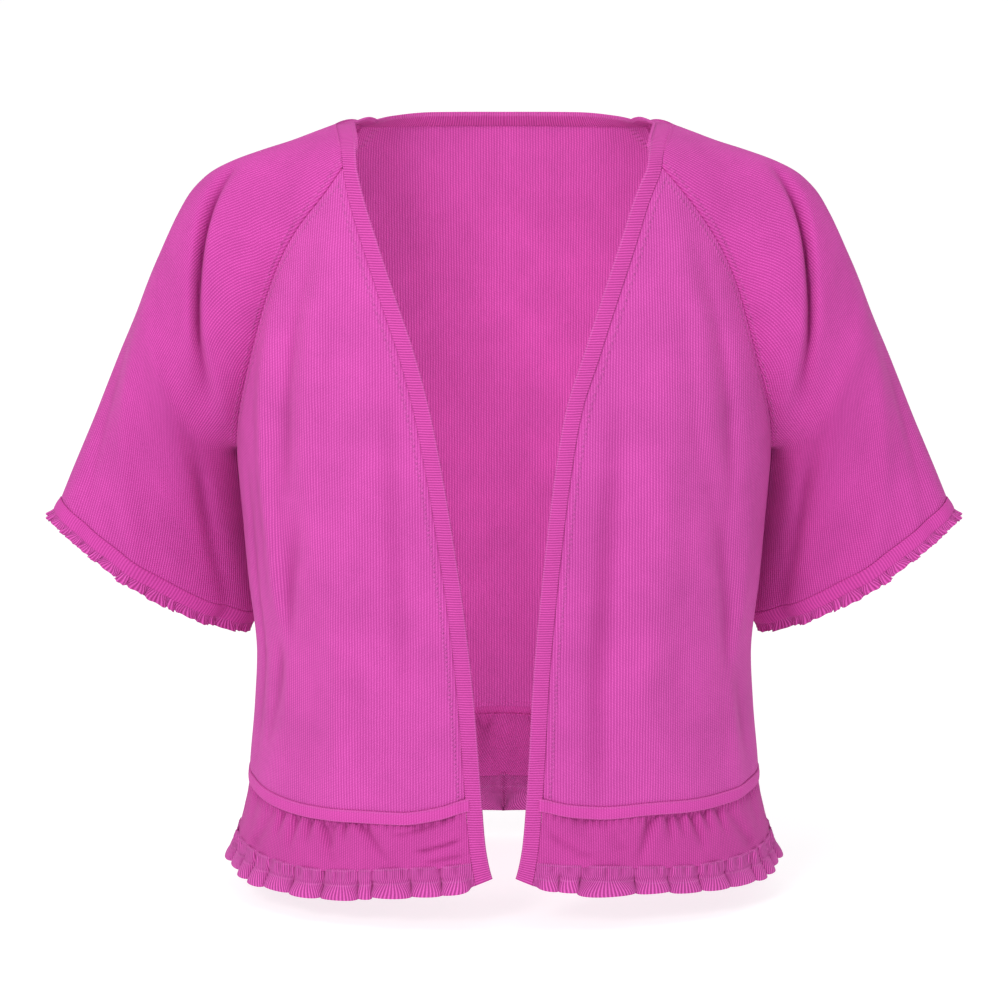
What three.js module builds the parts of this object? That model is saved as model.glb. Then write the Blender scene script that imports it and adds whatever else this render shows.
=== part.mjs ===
// An open-front cropped knit jacket with raglan elbow sleeves, filled out as if worn, with nobody in it.
// A rib band runs up each front edge and round the back neck, a narrow band goes round the waist, and below
// it hang a gathered peplum and a rib-edged ruffle. Each sleeve ends in a cuff band with a small frill.
// Units are millimetres. +X is to the right as seen from the front, +Y to the back and +Z up. Every right and left
// is as seen from the front. The origin lies midway between the two shoulders, level with the top of the neckline.
import * as THREE from 'three';

// Driving dimensions
const PANEL_WALL = 1.6;
const BAND_WALL = 2.2;
const FRILL_WALL = 1.3;
const SEAM_GAP = 0.32;
const FRONT_BAND = 12;
const WAIST_BAND = 9.5;
const CUFF_BAND = 10.5;
const CUFF_FRILL = 5.5;
const BAND_PROUD = 0.4; // how far a band's face stands out from the panel beside it
const UNDERARM_Z = -245;
const WAIST_Z = -487; // the panels' foot at the side seams
const NECK_JOIN_Z = -31; // where the front raglan seam meets the front band
const NECK_DIP = 2.5; // how far the back neck sags in its middle
const TORSO_SQUARENESS = 2.3; // exponent of the torso's oval sections: 2 is an ellipse

// The grid that each piece is made on
const FRONT_COLUMNS = 11;
const FRONT_BUNCH = 1.35; // above 1, the front's columns crowd to the side seam, where it turns fastest
const BACK_COLUMNS = 20;
const SLEEVE_COLUMNS = 18;
const LOWER_ROWS = 9; // rows from the waist to the underarm
const PEPLUM_COLUMNS = { front: 54, back: 96 };
const PEPLUM_ROWS = 3;
const LOBE_POINTS = [0, 0.12, 0.32, 0.5, 0.68, 0.88]; // where a ruffle's lobe has its points, as shares of it
const FRILL_POINTS = [0, 0.22, 0.5, 0.78];

// A table with named columns. Its value() reads one column at a place along another, on a smooth curve
// that passes through every row and never overshoots between two rows.
function table(names, rows) {
  const column = (name) => rows.map((row) => row[names.indexOf(name)]);
  function value(name, by, at) {
    const xs = column(by);
    const ys = column(name);
    const rising = xs[xs.length - 1] > xs[0];
    const before = (i) => (rising ? xs[i] <= at : xs[i] >= at);
    let i = 0;
    while (i < xs.length - 2 && before(i + 1)) i += 1;
    const step = xs[i + 1] - xs[i];
    const t = THREE.MathUtils.clamp((at - xs[i]) / step, 0, 1);
    const slope = (k) => (ys[k + 1] - ys[k]) / (xs[k + 1] - xs[k]);
    function tangent(k) {
      if (k === 0) return slope(0);
      if (k === xs.length - 1) return slope(k - 1);
      const [a, b] = [slope(k - 1), slope(k)];
      return a * b <= 0 ? 0 : (2 * a * b) / (a + b);
    }
    const [t2, t3] = [t * t, t * t * t];
    return (2 * t3 - 3 * t2 + 1) * ys[i] + (t3 - 2 * t2 + t) * step * tangent(i)
      + (3 * t2 - 2 * t3) * ys[i + 1] + (t3 - t2) * step * tangent(i + 1);
  }
  return { rows: rows.map((row) => Object.fromEntries(names.map((n, i) => [n, row[i]]))), value };
}

// Sections of the torso at each height: half its width, and how far its front and back lie from the middle.
const TORSO = table(['z', 'halfWidth', 'front', 'back'], [
  [0, 106, 60, 72],
  [-11, 122, 70, 79],
  [-31, 146, 84, 86],
  [-60, 163, 97, 95],
  [-100, 180, 110, 106],
  [-150, 194, 123, 114],
  [-200, 200, 134, 118],
  [-245, 199.5, 141, 118],
  [-290, 196, 143, 115],
  [-340, 192, 142, 112],
  [-400, 186, 140, 113],
  [-440, 188, 140, 115],
  [-484, 192, 142, 120],
  [-500, 193, 143, 123],
  [-520, 197, 145, 126],
  [-543, 203, 148, 130],
  [-565, 208, 152, 134],
]);

// How far the opening's edge and the front raglan seam stand from the middle, on each side of the front.
const FRONT_EDGE = {
  right: table(['z', 'x'], [
    [-31, 104], [-50, 95], [-80, 84.5], [-120, 70.5], [-160, 57], [-200, 44],
    [-250, 35.5], [-300, 29.5], [-350, 24.5], [-400, 20.5], [-450, 18], [-484, 16], [-515, 13.5],
    [-535, 10.5], [-556, 5.5],
  ]),
  left: table(['z', 'x'], [
    [-31, 107], [-50, 102], [-80, 92], [-120, 78], [-160, 64], [-200, 53],
    [-250, 43], [-300, 35], [-350, 28], [-400, 22.5], [-450, 18.5], [-484, 16], [-515, 13.5],
    [-535, 10.5], [-556, 5.5],
  ]),
};
const FRONT_RAGLAN = {
  right: table(['z', 'x'], [
    [-31, 120.5], [-43, 130], [-65, 145], [-83, 155], [-117, 170], [-148, 179], [-172, 185.5], [-191, 190.5],
    [-220, 196.5], [-245, 199.5],
  ]),
  left: table(['z', 'x'], [
    [-31, 120], [-50, 132.5], [-74, 150], [-94, 161], [-112, 168.5], [-138, 177], [-171, 186], [-194, 191.5],
    [-220, 196.5], [-245, 199.5],
  ]),
};
const BACK_RAGLAN = table(['z', 'x'], [
  [-6, 106], [-40, 128], [-80, 150], [-120, 167], [-160, 180], [-200, 190], [-225, 196], [-245, 199.5],
]);

// Heights of the skirt's lines, along from the band's seam (0) by the side seam (1) to the middle of the back (2)
const SKIRT_COLUMNS = ['along', 'waist', 'ruffle', 'hem'];
const SKIRT = {
  right: table(SKIRT_COLUMNS, [
    [0, -482, -529, -545],
    [0.07, -487, -531, -549],
    [0.165, -489.5, -532.5, -553],
    [0.28, -488.5, -535, -552],
    [0.46, -490, -538, -556],
    [0.64, -489, -538, -558],
    [0.82, -487, -536.5, -556.5],
    [1, -487, -535, -554],
    [1.5, -476, -530, -554],
    [2, -466, -525, -556.5],
  ]),
  left: table(SKIRT_COLUMNS, [
    [0, -482, -529, -545],
    [0.07, -489, -532, -551],
    [0.165, -493.5, -534, -554],
    [0.28, -494, -537.5, -556.5],
    [0.46, -495, -540.5, -560],
    [0.64, -493, -539, -559],
    [0.82, -489, -536.5, -556],
    [1, -487, -535, -554],
    [1.5, -476, -530, -554],
    [2, -466, -525, -556.5],
  ]),
};

// The sag of the waist line dies away up the panels, over these heights.
const SAG = { front: { from: -380 }, back: { from: UNDERARM_Z } };

// Sections of a sleeve. 0 is at the cuff's seam, 7 at the underarm and 18 at the neck. Each row has the section's
// top on the shoulder line, the heights at which its front and back halves end, how far each half runs out level
// before it turns down, and the distance and way in which it leaves its lower end.
const UNDERARM_AT = 7;
const NECK_AT = 18;
const SLEEVE = table(
  ['at', 'topX', 'topZ', 'frontZ', 'backZ', 'frontReach', 'backReach', 'frontOut', 'frontX', 'frontY', 'frontUp',
    'backOut', 'backX', 'backY', 'backUp'],
  [
    [0, 332, -283, -377.5, -376.5, 64, 62, 62, 0.5, -0.87, -0.08, 50, 0.25, 0.97, 0],
    [1, 323.5, -262.5, -358.5, -358, 67, 64, 63, 0.5, -0.87, -0.07, 54, 0.28, 0.96, 0],
    [2, 314.5, -241.5, -339.5, -339, 70, 67, 65, 0.5, -0.87, -0.05, 58, 0.32, 0.95, 0],
    [3, 305.5, -220.5, -320, -320, 73, 70, 68, 0.5, -0.87, -0.03, 63, 0.36, 0.93, 0],
    [4, 296, -197, -302, -302, 76, 73, 71, 0.5, -0.87, -0.02, 68, 0.4, 0.92, 0],
    [5, 286.5, -173.5, -283, -283, 79, 77, 75, 0.5, -0.87, 0, 73, 0.45, 0.9, 0],
    [6, 277, -150, -264, -264, 80, 80, 79, 0.52, -0.86, -0.02, 78, 0.5, 0.87, -0.02],
    [7, 268, -128, -245, -245, 80, 80, 84, 0.55, -0.84, -0.05, 84, 0.55, 0.84, -0.05],
    [7.4, 265.5, -122, -240, -240, 78, 78, 64, 0.7, -0.71, -0.03, 64, 0.7, 0.71, -0.03],
    [8, 261.5, -113, -229, -229, 75, 76, 54, 0.7, -0.71, 0.03, 52, 0.7, 0.71, 0.03],
    [9, 255, -99, -211, -210, 70, 72, 48, 0.66, -0.74, 0.1, 46, 0.64, 0.75, 0.1],
    [10, 248, -84, -192, -188, 64, 66, 46, 0.7, -0.69, 0.18, 42, 0.66, 0.7, 0.18],
    [11, 240, -68, -173, -165, 58, 60, 42, 0.73, -0.6, 0.3, 38, 0.68, 0.62, 0.3],
    [12, 231, -53, -153, -142, 52, 54, 37, 0.75, -0.5, 0.42, 33, 0.7, 0.5, 0.44],
    [13, 218, -40, -133, -118, 46, 48, 33, 0.72, -0.36, 0.56, 30, 0.7, 0.36, 0.58],
    [14, 201, -31, -112, -92, 42, 42, 30, 0.64, -0.2, 0.7, 28, 0.63, 0.22, 0.71],
    [15, 179, -23, -90, -66, 37, 35, 27, 0.52, -0.05, 0.83, 24, 0.52, 0.1, 0.82],
    [16, 157, -16, -68, -42, 32, 28, 24, 0.36, 0.1, 0.93, 20, 0.4, 0, 0.85],
    [17, 139.5, -9.5, -48, -21, 26, 21, 20, 0.2, 0.25, 0.95, 15, 0.35, -0.15, 0.7],
    [18, 124, -4, -31, -6, 20, 16, 17, 0.05, 0.4, 0.9, 11, 0.3, -0.4, 0.4],
  ],
);

// Where a sleeve's lower line runs, from the cuff to the underarm. It lies behind the body's side.
const SLEEVE_UNDER = table(['at', 'x', 'y'], [
  [0, 185, 42], [1, 187.5, 38], [2, 190.5, 33], [3, 193, 27], [4, 195.5, 20], [5, 197.5, 13], [6, 199, 6],
  [7, 199.5, 0],
]);

// Small gathers under the waist band, each a trough: its place along the skirt, how deep and wide it is (half its
// width, in degrees), how far down the peplum it reaches and how far along it leans on its way.
const GATHER_COLUMNS = ['along', 'depth', 'halfWidth', 'reach', 'lean'];
const GATHERS = {
  right: table(GATHER_COLUMNS, [
    [0.1, 1.5, 3, 0.7, 0.02],
    [0.305, 3, 1.6, 1, -0.06],
    [0.357, 2.8, 1.4, 0.6, 0],
    [0.394, 2.6, 1.4, 0.5, 0.01],
    [0.443, 3, 1.5, 0.8, 0.03],
    [0.493, 2.6, 1.4, 0.5, 0.02],
    [0.56, 2.6, 1.6, 0.6, 0.02],
    [0.8, 1.5, 4, 0.8, 0],
    [1.3, 2.6, 1.6, 0.7, 0.01],
    [1.37, 2.8, 1.5, 0.8, 0.02],
    [1.44, 2.6, 1.6, 0.6, 0],
    [1.51, 2.8, 1.5, 0.9, -0.02],
    [1.6, 2.2, 2, 0.7, 0],
    [1.86, 2.4, 1.6, 0.7, 0],
    [1.93, 2.8, 1.5, 0.9, 0.02],
  ]),
  left: table(GATHER_COLUMNS, [
    [0.12, 1.5, 3, 0.8, -0.02],
    [0.285, 2.6, 1.8, 0.9, -0.09],
    [0.335, 2.4, 1.4, 0.5, 0],
    [0.375, 2.8, 1.4, 0.6, 0],
    [0.415, 3, 1.5, 0.9, -0.05],
    [0.465, 2.6, 1.4, 0.6, 0],
    [0.526, 2.8, 1.5, 0.8, 0.01],
    [0.596, 2.6, 1.5, 0.6, 0.01],
    [0.8, 1.5, 4, 0.8, 0],
    [1.3, 2.6, 1.6, 0.7, 0.01],
    [1.38, 2.8, 1.5, 0.8, 0.02],
    [1.45, 2.6, 1.6, 0.6, 0],
    [1.53, 2.8, 1.5, 0.9, -0.02],
    [1.88, 2.4, 1.6, 0.7, 0],
    [1.965, 3, 1.3, 1, 0],
  ]),
};

// Where the ruffle folds in between two lobes, along the skirt
const VALLEYS = {
  front: {
    right: [0, 0.054, 0.1, 0.242, 0.338, 0.44, 0.546, 0.681, 0.75, 0.826, 0.91, 1],
    left: [0, 0.072, 0.143, 0.244, 0.282, 0.39, 0.498, 0.613, 0.7, 0.777, 0.88, 1],
  },
  back: {
    right: [1, 1.07, 1.15, 1.25, 1.33, 1.43, 1.52, 1.6, 1.7, 1.79, 1.88, 2],
    left: [1, 1.08, 1.16, 1.24, 1.34, 1.42, 1.51, 1.61, 1.69, 1.8, 1.9, 2],
  },
};

// The way from the band's seam to its edge, round the shoulder and the back neck: 0 is at the front raglan seam
// and 1 at the middle of the back. x points to the middle, y to the back and z up.
const NECK_LEAN = table(['at', 'x', 'y', 'z'], [
  [0, -0.85, -0.5, 0.05], [0.12, -0.95, -0.2, 0.08], [0.25, -0.97, 0, 0.12], [0.35, -0.94, -0.2, 0.2],
  [0.45, -0.8, -0.42, 0.38], [0.6, -0.45, -0.62, 0.62], [0.75, -0.2, -0.7, 0.66], [1, 0, -0.74, 0.67],
]);

// Soft folds down the body: from a high to a low point, each a height and an angle from the middle of the front
// in degrees, with its depth (a ridge is above 0 and a trough below it) and half its width.
const BODY_FOLD_COLUMNS = ['highZ', 'highAngle', 'lowZ', 'lowAngle', 'depth', 'halfWidth'];
const BODY_FOLDS = {
  right: table(BODY_FOLD_COLUMNS, [
    [-150, 34, -500, 25, -5, 17],
    [-190, 47, -520, 45, 3.5, 18],
    [-230, 60, -540, 66, -4, 14],
    [-60, 52, -300, 62, 3, 16],
    [-200, 128, -540, 122, 4, 22],
    [-120, 148, -500, 150, -4, 24],
  ]),
  left: table(BODY_FOLD_COLUMNS, [
    [-200, 36, -480, 56, 5, 18],
    [-260, 56, -500, 72, -4, 15],
    [-150, 22, -440, 20, -3, 16],
    [-60, 50, -280, 58, 3.5, 16],
    [-200, 126, -540, 132, 4, 22],
    [-140, 150, -520, 146, -3.5, 24],
  ]),
};

// Soft folds down a sleeve: from a high to a low point, each a ring's place (0 at the cuff, 1 at the underarm and
// 2 at the neck) and a place round it (0 at the front seam, 1 on top and 2 at the back seam).
const SLEEVE_FOLD_COLUMNS = ['highRing', 'highTurn', 'lowRing', 'lowTurn', 'depth', 'halfWidth'];
const SLEEVE_FOLDS = {
  right: table(SLEEVE_FOLD_COLUMNS, [
    [1.5, 0.36, 0.1, 0.2, -8, 15],
    [1.5, 0.62, 0.0, 0.42, 4, 18],
    [1.3, 0.85, 0.0, 0.7, -4, 16],
    [1.4, 1.4, 0.0, 1.5, -5, 20],
    [1.3, 1.7, 0.2, 1.75, 4, 16],
  ]),
  left: table(SLEEVE_FOLD_COLUMNS, [
    [1.5, 0.34, 0.1, 0.2, -9, 15],
    [1.5, 0.6, 0.0, 0.46, 4, 18],
    [1.35, 0.82, 0.0, 0.68, -4.5, 16],
    [1.4, 1.45, 0.0, 1.45, -5, 20],
    [1.3, 1.7, 0.2, 1.8, 4, 16],
  ]),
};

const mix = THREE.MathUtils.lerp;
const ease = (t) => THREE.MathUtils.smoothstep(t, 0, 1);
const steps = (n) => Array.from({ length: n + 1 }, (_, i) => i / n);
const SIDES = ['right', 'left'];
const signOf = (side) => (side === 'right' ? 1 : -1);

// A long, soft fold's height at a point: `down` is 0 at its top and 1 at its foot, `off` the distance from its line.
function foldHeight(down, off, depth, halfWidth) {
  if (down <= 0 || down >= 1) return 0;
  return depth * Math.sin(Math.PI * down) ** 0.8 * Math.exp(-((off / halfWidth) ** 2));
}

// A point of the torso's outside, for a side, an angle (0 at the middle of the front, 90 at the side and 180 at the
// middle of the back) and a height. `outward` moves it off the surface.
function torso(side, angle, z, outward = 0) {
  const width = TORSO.value('halfWidth', 'z', z);
  const depth = angle < 90 ? TORSO.value('front', 'z', z) : TORSO.value('back', 'z', z);
  const turn = THREE.MathUtils.degToRad(angle);
  const power = 2 / TORSO_SQUARENESS;
  const s = Math.max(Math.sin(turn), 0);
  const c = Math.abs(Math.cos(turn));
  const x = width * s ** power;
  const y = -Math.sign(Math.cos(turn)) * depth * c ** power;
  const nx = s ** (2 - power) / width;
  const ny = (-Math.sign(Math.cos(turn)) * c ** (2 - power)) / depth;
  const length = Math.hypot(nx, ny);
  const reach = (width + depth) / 2;
  const fold = BODY_FOLDS[side].rows.reduce((sum, row) => {
    const down = (row.highZ - z) / (row.highZ - row.lowZ);
    const off = THREE.MathUtils.degToRad(angle - mix(row.highAngle, row.lowAngle, down)) * reach;
    return sum + foldHeight(down, off, row.depth, row.halfWidth);
  }, 0);
  const out = outward + fold;
  return new THREE.Vector3(signOf(side) * (x + (out * nx) / length), y + (out * ny) / length, z);
}

// The angle on the torso that lies a given distance from the middle, at a height.
function angleAt(x, z) {
  const share = Math.min(1, x / TORSO.value('halfWidth', 'z', z));
  return THREE.MathUtils.radToDeg(Math.asin(share ** (TORSO_SQUARENESS / 2)));
}

// The opening's edge, and the seam a band's width from it, as angles on the torso.
const edgeAngle = (side, z) => angleAt(FRONT_EDGE[side].value('x', 'z', z), z);
function bandSeamAngle(side, z) {
  const edge = torso(side, edgeAngle(side, z), z);
  const slope = (FRONT_EDGE[side].value('x', 'z', z + 5) - FRONT_EDGE[side].value('x', 'z', z - 5)) / 10;
  const width = FRONT_BAND * Math.hypot(1, slope);
  let [low, high] = [edgeAngle(side, z), 90];
  for (let i = 0; i < 24; i += 1) {
    const middle = (low + high) / 2;
    if (torso(side, middle, z).distanceTo(edge) < width) low = middle;
    else high = middle;
  }
  return (low + high) / 2;
}

// The raglan seams as angles on the torso. The front one starts where the band's seam does.
const JOIN_BLEND = 60;
function frontRaglanAngle(side, z) {
  if (z <= UNDERARM_Z) return 90;
  const plain = angleAt(FRONT_RAGLAN[side].value('x', 'z', z), z);
  const start = angleAt(FRONT_RAGLAN[side].value('x', 'z', NECK_JOIN_Z), NECK_JOIN_Z);
  const pull = Math.max(0, 1 - (NECK_JOIN_Z - z) / JOIN_BLEND);
  return plain + (bandSeamAngle(side, NECK_JOIN_Z) - start) * pull;
}
const backRaglanAngle = (z) => (z <= UNDERARM_Z ? 90 : 180 - angleAt(BACK_RAGLAN.value('x', 'z', z), z));

const frontShares = steps(FRONT_COLUMNS).map((u) => 1 - (1 - u) ** FRONT_BUNCH);

// Heights at the side seams, or at the raglan seams, of the rows that all the pieces share
const lowerRows = steps(LOWER_ROWS).slice(0, -1).map((t) => mix(WAIST_Z, UNDERARM_Z, t));
const raglanRows = SLEEVE.rows.filter((row) => row.at >= UNDERARM_AT);
const frontRows = [...lowerRows, ...raglanRows.map((row) => row.frontZ)];
const backRows = [...lowerRows, ...raglanRows.map((row) => row.backZ)];

// How far a row lies below its height at the side, at a place along it
function sag(side, along, z) {
  const { from } = along <= 1 ? SAG.front : SAG.back;
  return (SKIRT[side].value('waist', 'along', along) - WAIST_Z) * ease((from - z) / (from - WAIST_Z));
}

// Rows of points for a piece on the other side of the body read the other way, so that its outside stays outside.
const oriented = (side, rows) => (side === 'right' ? rows : rows.map((row) => [...row].reverse()));

// A place's angle on a row whose far end is drawn in from the side seam. Columns near the middle stay upright.
const KEEP_UPRIGHT = { room: 0.6, most: 3 };
function rowAngle(from, to, share) {
  const [whole, drawn] = [Math.abs(90 - from), Math.abs(90 - to)];
  const power = THREE.MathUtils.clamp((KEEP_UPRIGHT.room * whole) / drawn, 1, KEEP_UPRIGHT.most);
  return from + Math.sign(90 - from) * (whole * share - drawn * share ** power);
}

function frontPanel(side) {
  return oriented(side, frontRows.map((z) => {
    const seamZ = z + sag(side, 0, z);
    const [from, to] = [bandSeamAngle(side, seamZ), frontRaglanAngle(side, z)];
    return frontShares.map((u) => torso(side, rowAngle(from, to, u), z + sag(side, u, z)));
  }));
}

function backPanel() {
  return backRows.map((z) => {
    const dip = NECK_DIP * ease(1 + z / 80);
    return steps(BACK_COLUMNS).map((u) => {
      const side = u < 0.5 ? 'right' : 'left';
      const across = Math.abs(2 * u - 1);
      const level = z + sag(side, 2 - across, z) - dip * (1 - across * across);
      return torso(side, rowAngle(180, backRaglanAngle(z), across), level);
    });
  });
}

// Half of a sleeve's section, from its top to a seam or to the under line, as a Bezier curve.
function halfSection(top, reach, towards, end, out, way) {
  const level = new THREE.Vector3(0, towards * reach, 0);
  const leave = way.clone().normalize().multiplyScalar(out);
  return new THREE.CubicBezierCurve3(top, top.clone().add(level), end.clone().add(leave), end);
}

// The two halves of a section, front and back. `beyond` carries it past the cuff's seam, along the sleeve.
function section(side, at, beyond = 0) {
  const read = (name) => SLEEVE.value(name, 'at', at);
  const sign = signOf(side);
  const under = (name) => SLEEVE_UNDER.value(name, 'at', at);
  const axis = new THREE.Vector2(read('topX') - under('x'), read('topZ') - read('frontZ')).normalize();
  const shift = new THREE.Vector3(sign * axis.y * beyond, 0, -axis.x * beyond);
  const top = new THREE.Vector3(sign * read('topX'), 0, read('topZ'));
  const closedEnd = new THREE.Vector3(sign * under('x'), under('y'), read('frontZ'));
  const frontSeam = torso(side, frontRaglanAngle(side, read('frontZ')), read('frontZ'));
  const backSeam = torso(side, backRaglanAngle(read('backZ')), read('backZ'));
  return ['front', 'back'].map((half) => {
    const seam = half === 'front' ? frontSeam : backSeam;
    const end = at < UNDERARM_AT ? closedEnd.clone() : seam;
    const way = new THREE.Vector3(sign * read(`${half}X`), read(`${half}Y`), read(`${half}Up`));
    const towards = half === 'front' ? -1 : 1;
    return halfSection(top.clone().add(shift), read(`${half}Reach`), towards, end.add(shift), read(`${half}Out`), way);
  });
}

// A row of points round a section, from the front seam over the top to the back seam.
function sectionRow(side, [front, back], places, ring, lift = () => 0) {
  const middle = front.getPoint(0).add(front.getPoint(1)).multiplyScalar(0.5);
  return places.map((u) => {
    const turn = 2 * u;
    const point = turn < 1 ? front.getPoint(1 - turn) : back.getPoint(turn - 1);
    const away = new THREE.Vector3(point.x - middle.x, point.y, point.z - middle.z).normalize();
    const girth = front.getLength() + back.getLength();
    const fade = Math.sin(Math.PI * u) ** 0.5;
    const fold = SLEEVE_FOLDS[side].rows.reduce((sum, row) => {
      const down = (row.highRing - ring) / (row.highRing - row.lowRing);
      const reach = row.lowRing <= 0 ? Math.min(down, 0.5) : down;
      const off = ((turn - mix(row.highTurn, row.lowTurn, down)) * girth) / 2;
      return sum + foldHeight(reach, off, row.depth, row.halfWidth);
    }, 0);
    return point.addScaledVector(away, fold * fade + lift(u));
  });
}

function sleeve(side) {
  const ringOf = (at) => (at < UNDERARM_AT ? at / UNDERARM_AT : 1 + (at - UNDERARM_AT) / (NECK_AT - UNDERARM_AT));
  return oriented(side, SLEEVE.rows.map((row) => (
    sectionRow(side, section(side, row.at), steps(SLEEVE_COLUMNS), ringOf(row.at)))));
}

// One of the skirt's lines, and the torso's angle at a place along it
const line = (name) => (side, along) => SKIRT[side].value(name, 'along', along);
const shifted = (height, down) => (side, along) => height(side, along) - down;
const waistTop = line('waist');
const waistFoot = shifted(waistTop, WAIST_BAND);
const skirtAngle = (side, z, along) => (
  along >= 1 ? 90 * along : mix(bandSeamAngle(side, z), 90, along));

// Rows of a strip between two lines, over places along the skirt. `swell` moves a point out, at a share down it.
function skirtRows(side, places, rowCount, top, bottom, swell) {
  return steps(rowCount).map((up) => places.map((along) => {
    const z = mix(bottom(side, along), top(side, along), up);
    return torso(side, skirtAngle(side, z, along), z, swell(side, along, 1 - up));
  }));
}

// A strip on one side of the front, or the whole back from the right side seam to the left one
function strip(side, places, rowCount, top, bottom, swell) {
  if (side !== 'back') return oriented(side, skirtRows(side, places[side], rowCount, top, bottom, swell));
  const [right, left] = SIDES.map((s) => skirtRows(s, places[s], rowCount, top, bottom, swell));
  return right.map((row, i) => [...row, ...left[i].slice(0, -1).reverse()]);
}

const spread = (from, to, columns) => steps(columns).map((t) => mix(from, to, t));
const both = (places) => ({ right: places, left: places });
const flat = () => 0;

// The waist band has the panels' columns. What hangs from it follows its straight edges between them.
const bandPlaces = [...frontShares.slice(0, -1), ...spread(1, 2, BACK_COLUMNS / 2)];
function onChords(height) {
  return (side, along) => {
    const i = Math.max(1, bandPlaces.findIndex((place) => place >= along));
    const [from, to] = [bandPlaces[i - 1], bandPlaces[i]];
    return mix(height(side, from), height(side, to), (along - from) / (to - from));
  };
}

function waistBand(side) {
  const places = side === 'back' ? spread(1, 2, BACK_COLUMNS / 2) : frontShares;
  const foot = strip(side, both(places), 1, waistTop, waistFoot, flat)[0];
  return [foot, side === 'back' ? backPanel()[0] : frontPanel(side)[0]];
}

// Waves and gathers die away over this share of a half at the seams.
const EDGE_FADE = 0.04;
function atSeams(along) {
  const off = along < 1 ? Math.min(along, 1 - along) : along - 1;
  return ease(off / EDGE_FADE);
}

const TUCK = 1.2; // how far the peplum's top lies behind the waist band's face
function gathered(side, along, down) {
  const trough = GATHERS[side].rows.reduce((sum, row) => {
    const share = down / row.reach;
    const off = ((along - row.along - row.lean * share) * 90) / row.halfWidth;
    return sum + (share < 1 ? row.depth * (1 - share) * Math.exp(-off * off) : 0);
  }, 0);
  return -(trough + TUCK * (1 - ease(down * 3))) * atSeams(along);
}
function peplum(side) {
  const half = side === 'back' ? 'back' : 'front';
  const places = half === 'back' ? spread(1, 2, PEPLUM_COLUMNS.back / 2) : spread(0, 1, PEPLUM_COLUMNS.front);
  return strip(side, both(places), PEPLUM_ROWS, onChords(waistFoot), onChords(line('ruffle')), gathered);
}

// A lobe's height over a cloth fold's width: it swells between two tight valleys.
const lobe = (share) => Math.sin(Math.PI * share) ** 0.6;
const placesIn = (valleys, points) => [
  ...valleys.slice(0, -1).flatMap((from, i) => points.map((share) => mix(from, valleys[i + 1], share))),
  valleys.at(-1)];

const RUFFLE = { depth: 6.5, head: 0.35, flare: 1 };
function ruffle(side) {
  const half = side === 'back' ? 'back' : 'front';
  const valleys = VALLEYS[half];
  const places = Object.fromEntries(SIDES.map((s) => [s, placesIn(valleys[s], LOBE_POINTS)]));
  const swell = (s, along, down) => {
    const i = Math.max(1, valleys[s].findIndex((valley) => valley >= along));
    const width = valleys[s][i] - valleys[s][i - 1];
    const height = RUFFLE.depth * Math.min(1, width / 0.09) * lobe((along - valleys[s][i - 1]) / width);
    return ((height - RUFFLE.depth / 2) * mix(RUFFLE.head, 1, ease(down)) + RUFFLE.flare * down) * atSeams(along);
  };
  return strip(side, places, 2, onChords(line('ruffle')), line('hem'), swell);
}

// A front band: up the front edge from the hem, over the shoulder beside the sleeve, and to the middle of the back neck
const BAND_SKIRT_ROWS = 6;
function frontBand(side) {
  const waist = waistFoot(side, 0);
  const skirt = steps(BAND_SKIRT_ROWS).map((t) => mix(line('hem')(side, 0), waist, t));
  const heights = [...skirt, ...frontRows.map((z) => z + sag(side, 0, z))];
  const front = heights.map((z) => [0, 0.5, 1].map((u) => (
    torso(side, mix(edgeAngle(side, z), bandSeamAngle(side, z), u), z))));
  const seam = [
    ...oriented(side, [sleeve(side).at(-1)])[0].slice(1),
    ...oriented(side, [backPanel().at(-1)])[0].slice(1, BACK_COLUMNS / 2 + 1),
  ];
  const start = front.at(-1)[2];
  const lengths = seam.map((p, i) => p.distanceTo(i ? seam[i - 1] : start));
  const whole = lengths.reduce((a, b) => a + b, 0);
  let run = 0;
  const round = seam.map((point, i) => {
    run += lengths[i];
    const way = ['x', 'y', 'z'].map((axis) => NECK_LEAN.value(axis, 'at', run / whole));
    const lean = new THREE.Vector3(signOf(side) * way[0], way[1], way[2]).setLength(FRONT_BAND);
    return [1, 0.5, 0].map((share) => point.clone().addScaledVector(lean, share));
  });
  return oriented(side, [...front, ...round]);
}

function cuffBand(side) {
  return oriented(side, [CUFF_BAND, CUFF_BAND / 2, 0].map((beyond) => (
    sectionRow(side, section(side, 0, beyond), steps(SLEEVE_COLUMNS), 0))));
}

const FRILL = { lobes: 28, uneven: 0.3, depth: 4.2, head: 0.35, flare: 1.5 };
const frillValleys = steps(FRILL.lobes).map((t, i) => t + (FRILL.uneven / FRILL.lobes) * Math.sin(i * 2.4) * atSeams(t / 2));
function cuffFrill(side) {
  const places = placesIn(frillValleys, FRILL_POINTS);
  const lobes = FRILL_POINTS.length;
  const wave = (u) => {
    const share = FRILL_POINTS[places.indexOf(u) % lobes];
    return FRILL.depth * (lobe(share) - 0.5);
  };
  return oriented(side, [CUFF_FRILL, 0].map((beyond) => {
    const swell = mix(FRILL.head, 1, beyond / CUFF_FRILL);
    const flare = (FRILL.flare * beyond) / CUFF_FRILL;
    return sectionRow(side, section(side, 0, CUFF_BAND + beyond), places, 0, (u) => wave(u) * swell + flare);
  }));
}

// Points closer than this are one point.
const WELD = 1e-3;
const keyOf = (p) => [p.x, p.y, p.z].map((v) => Math.round(v / WELD)).join(' ');

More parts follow.
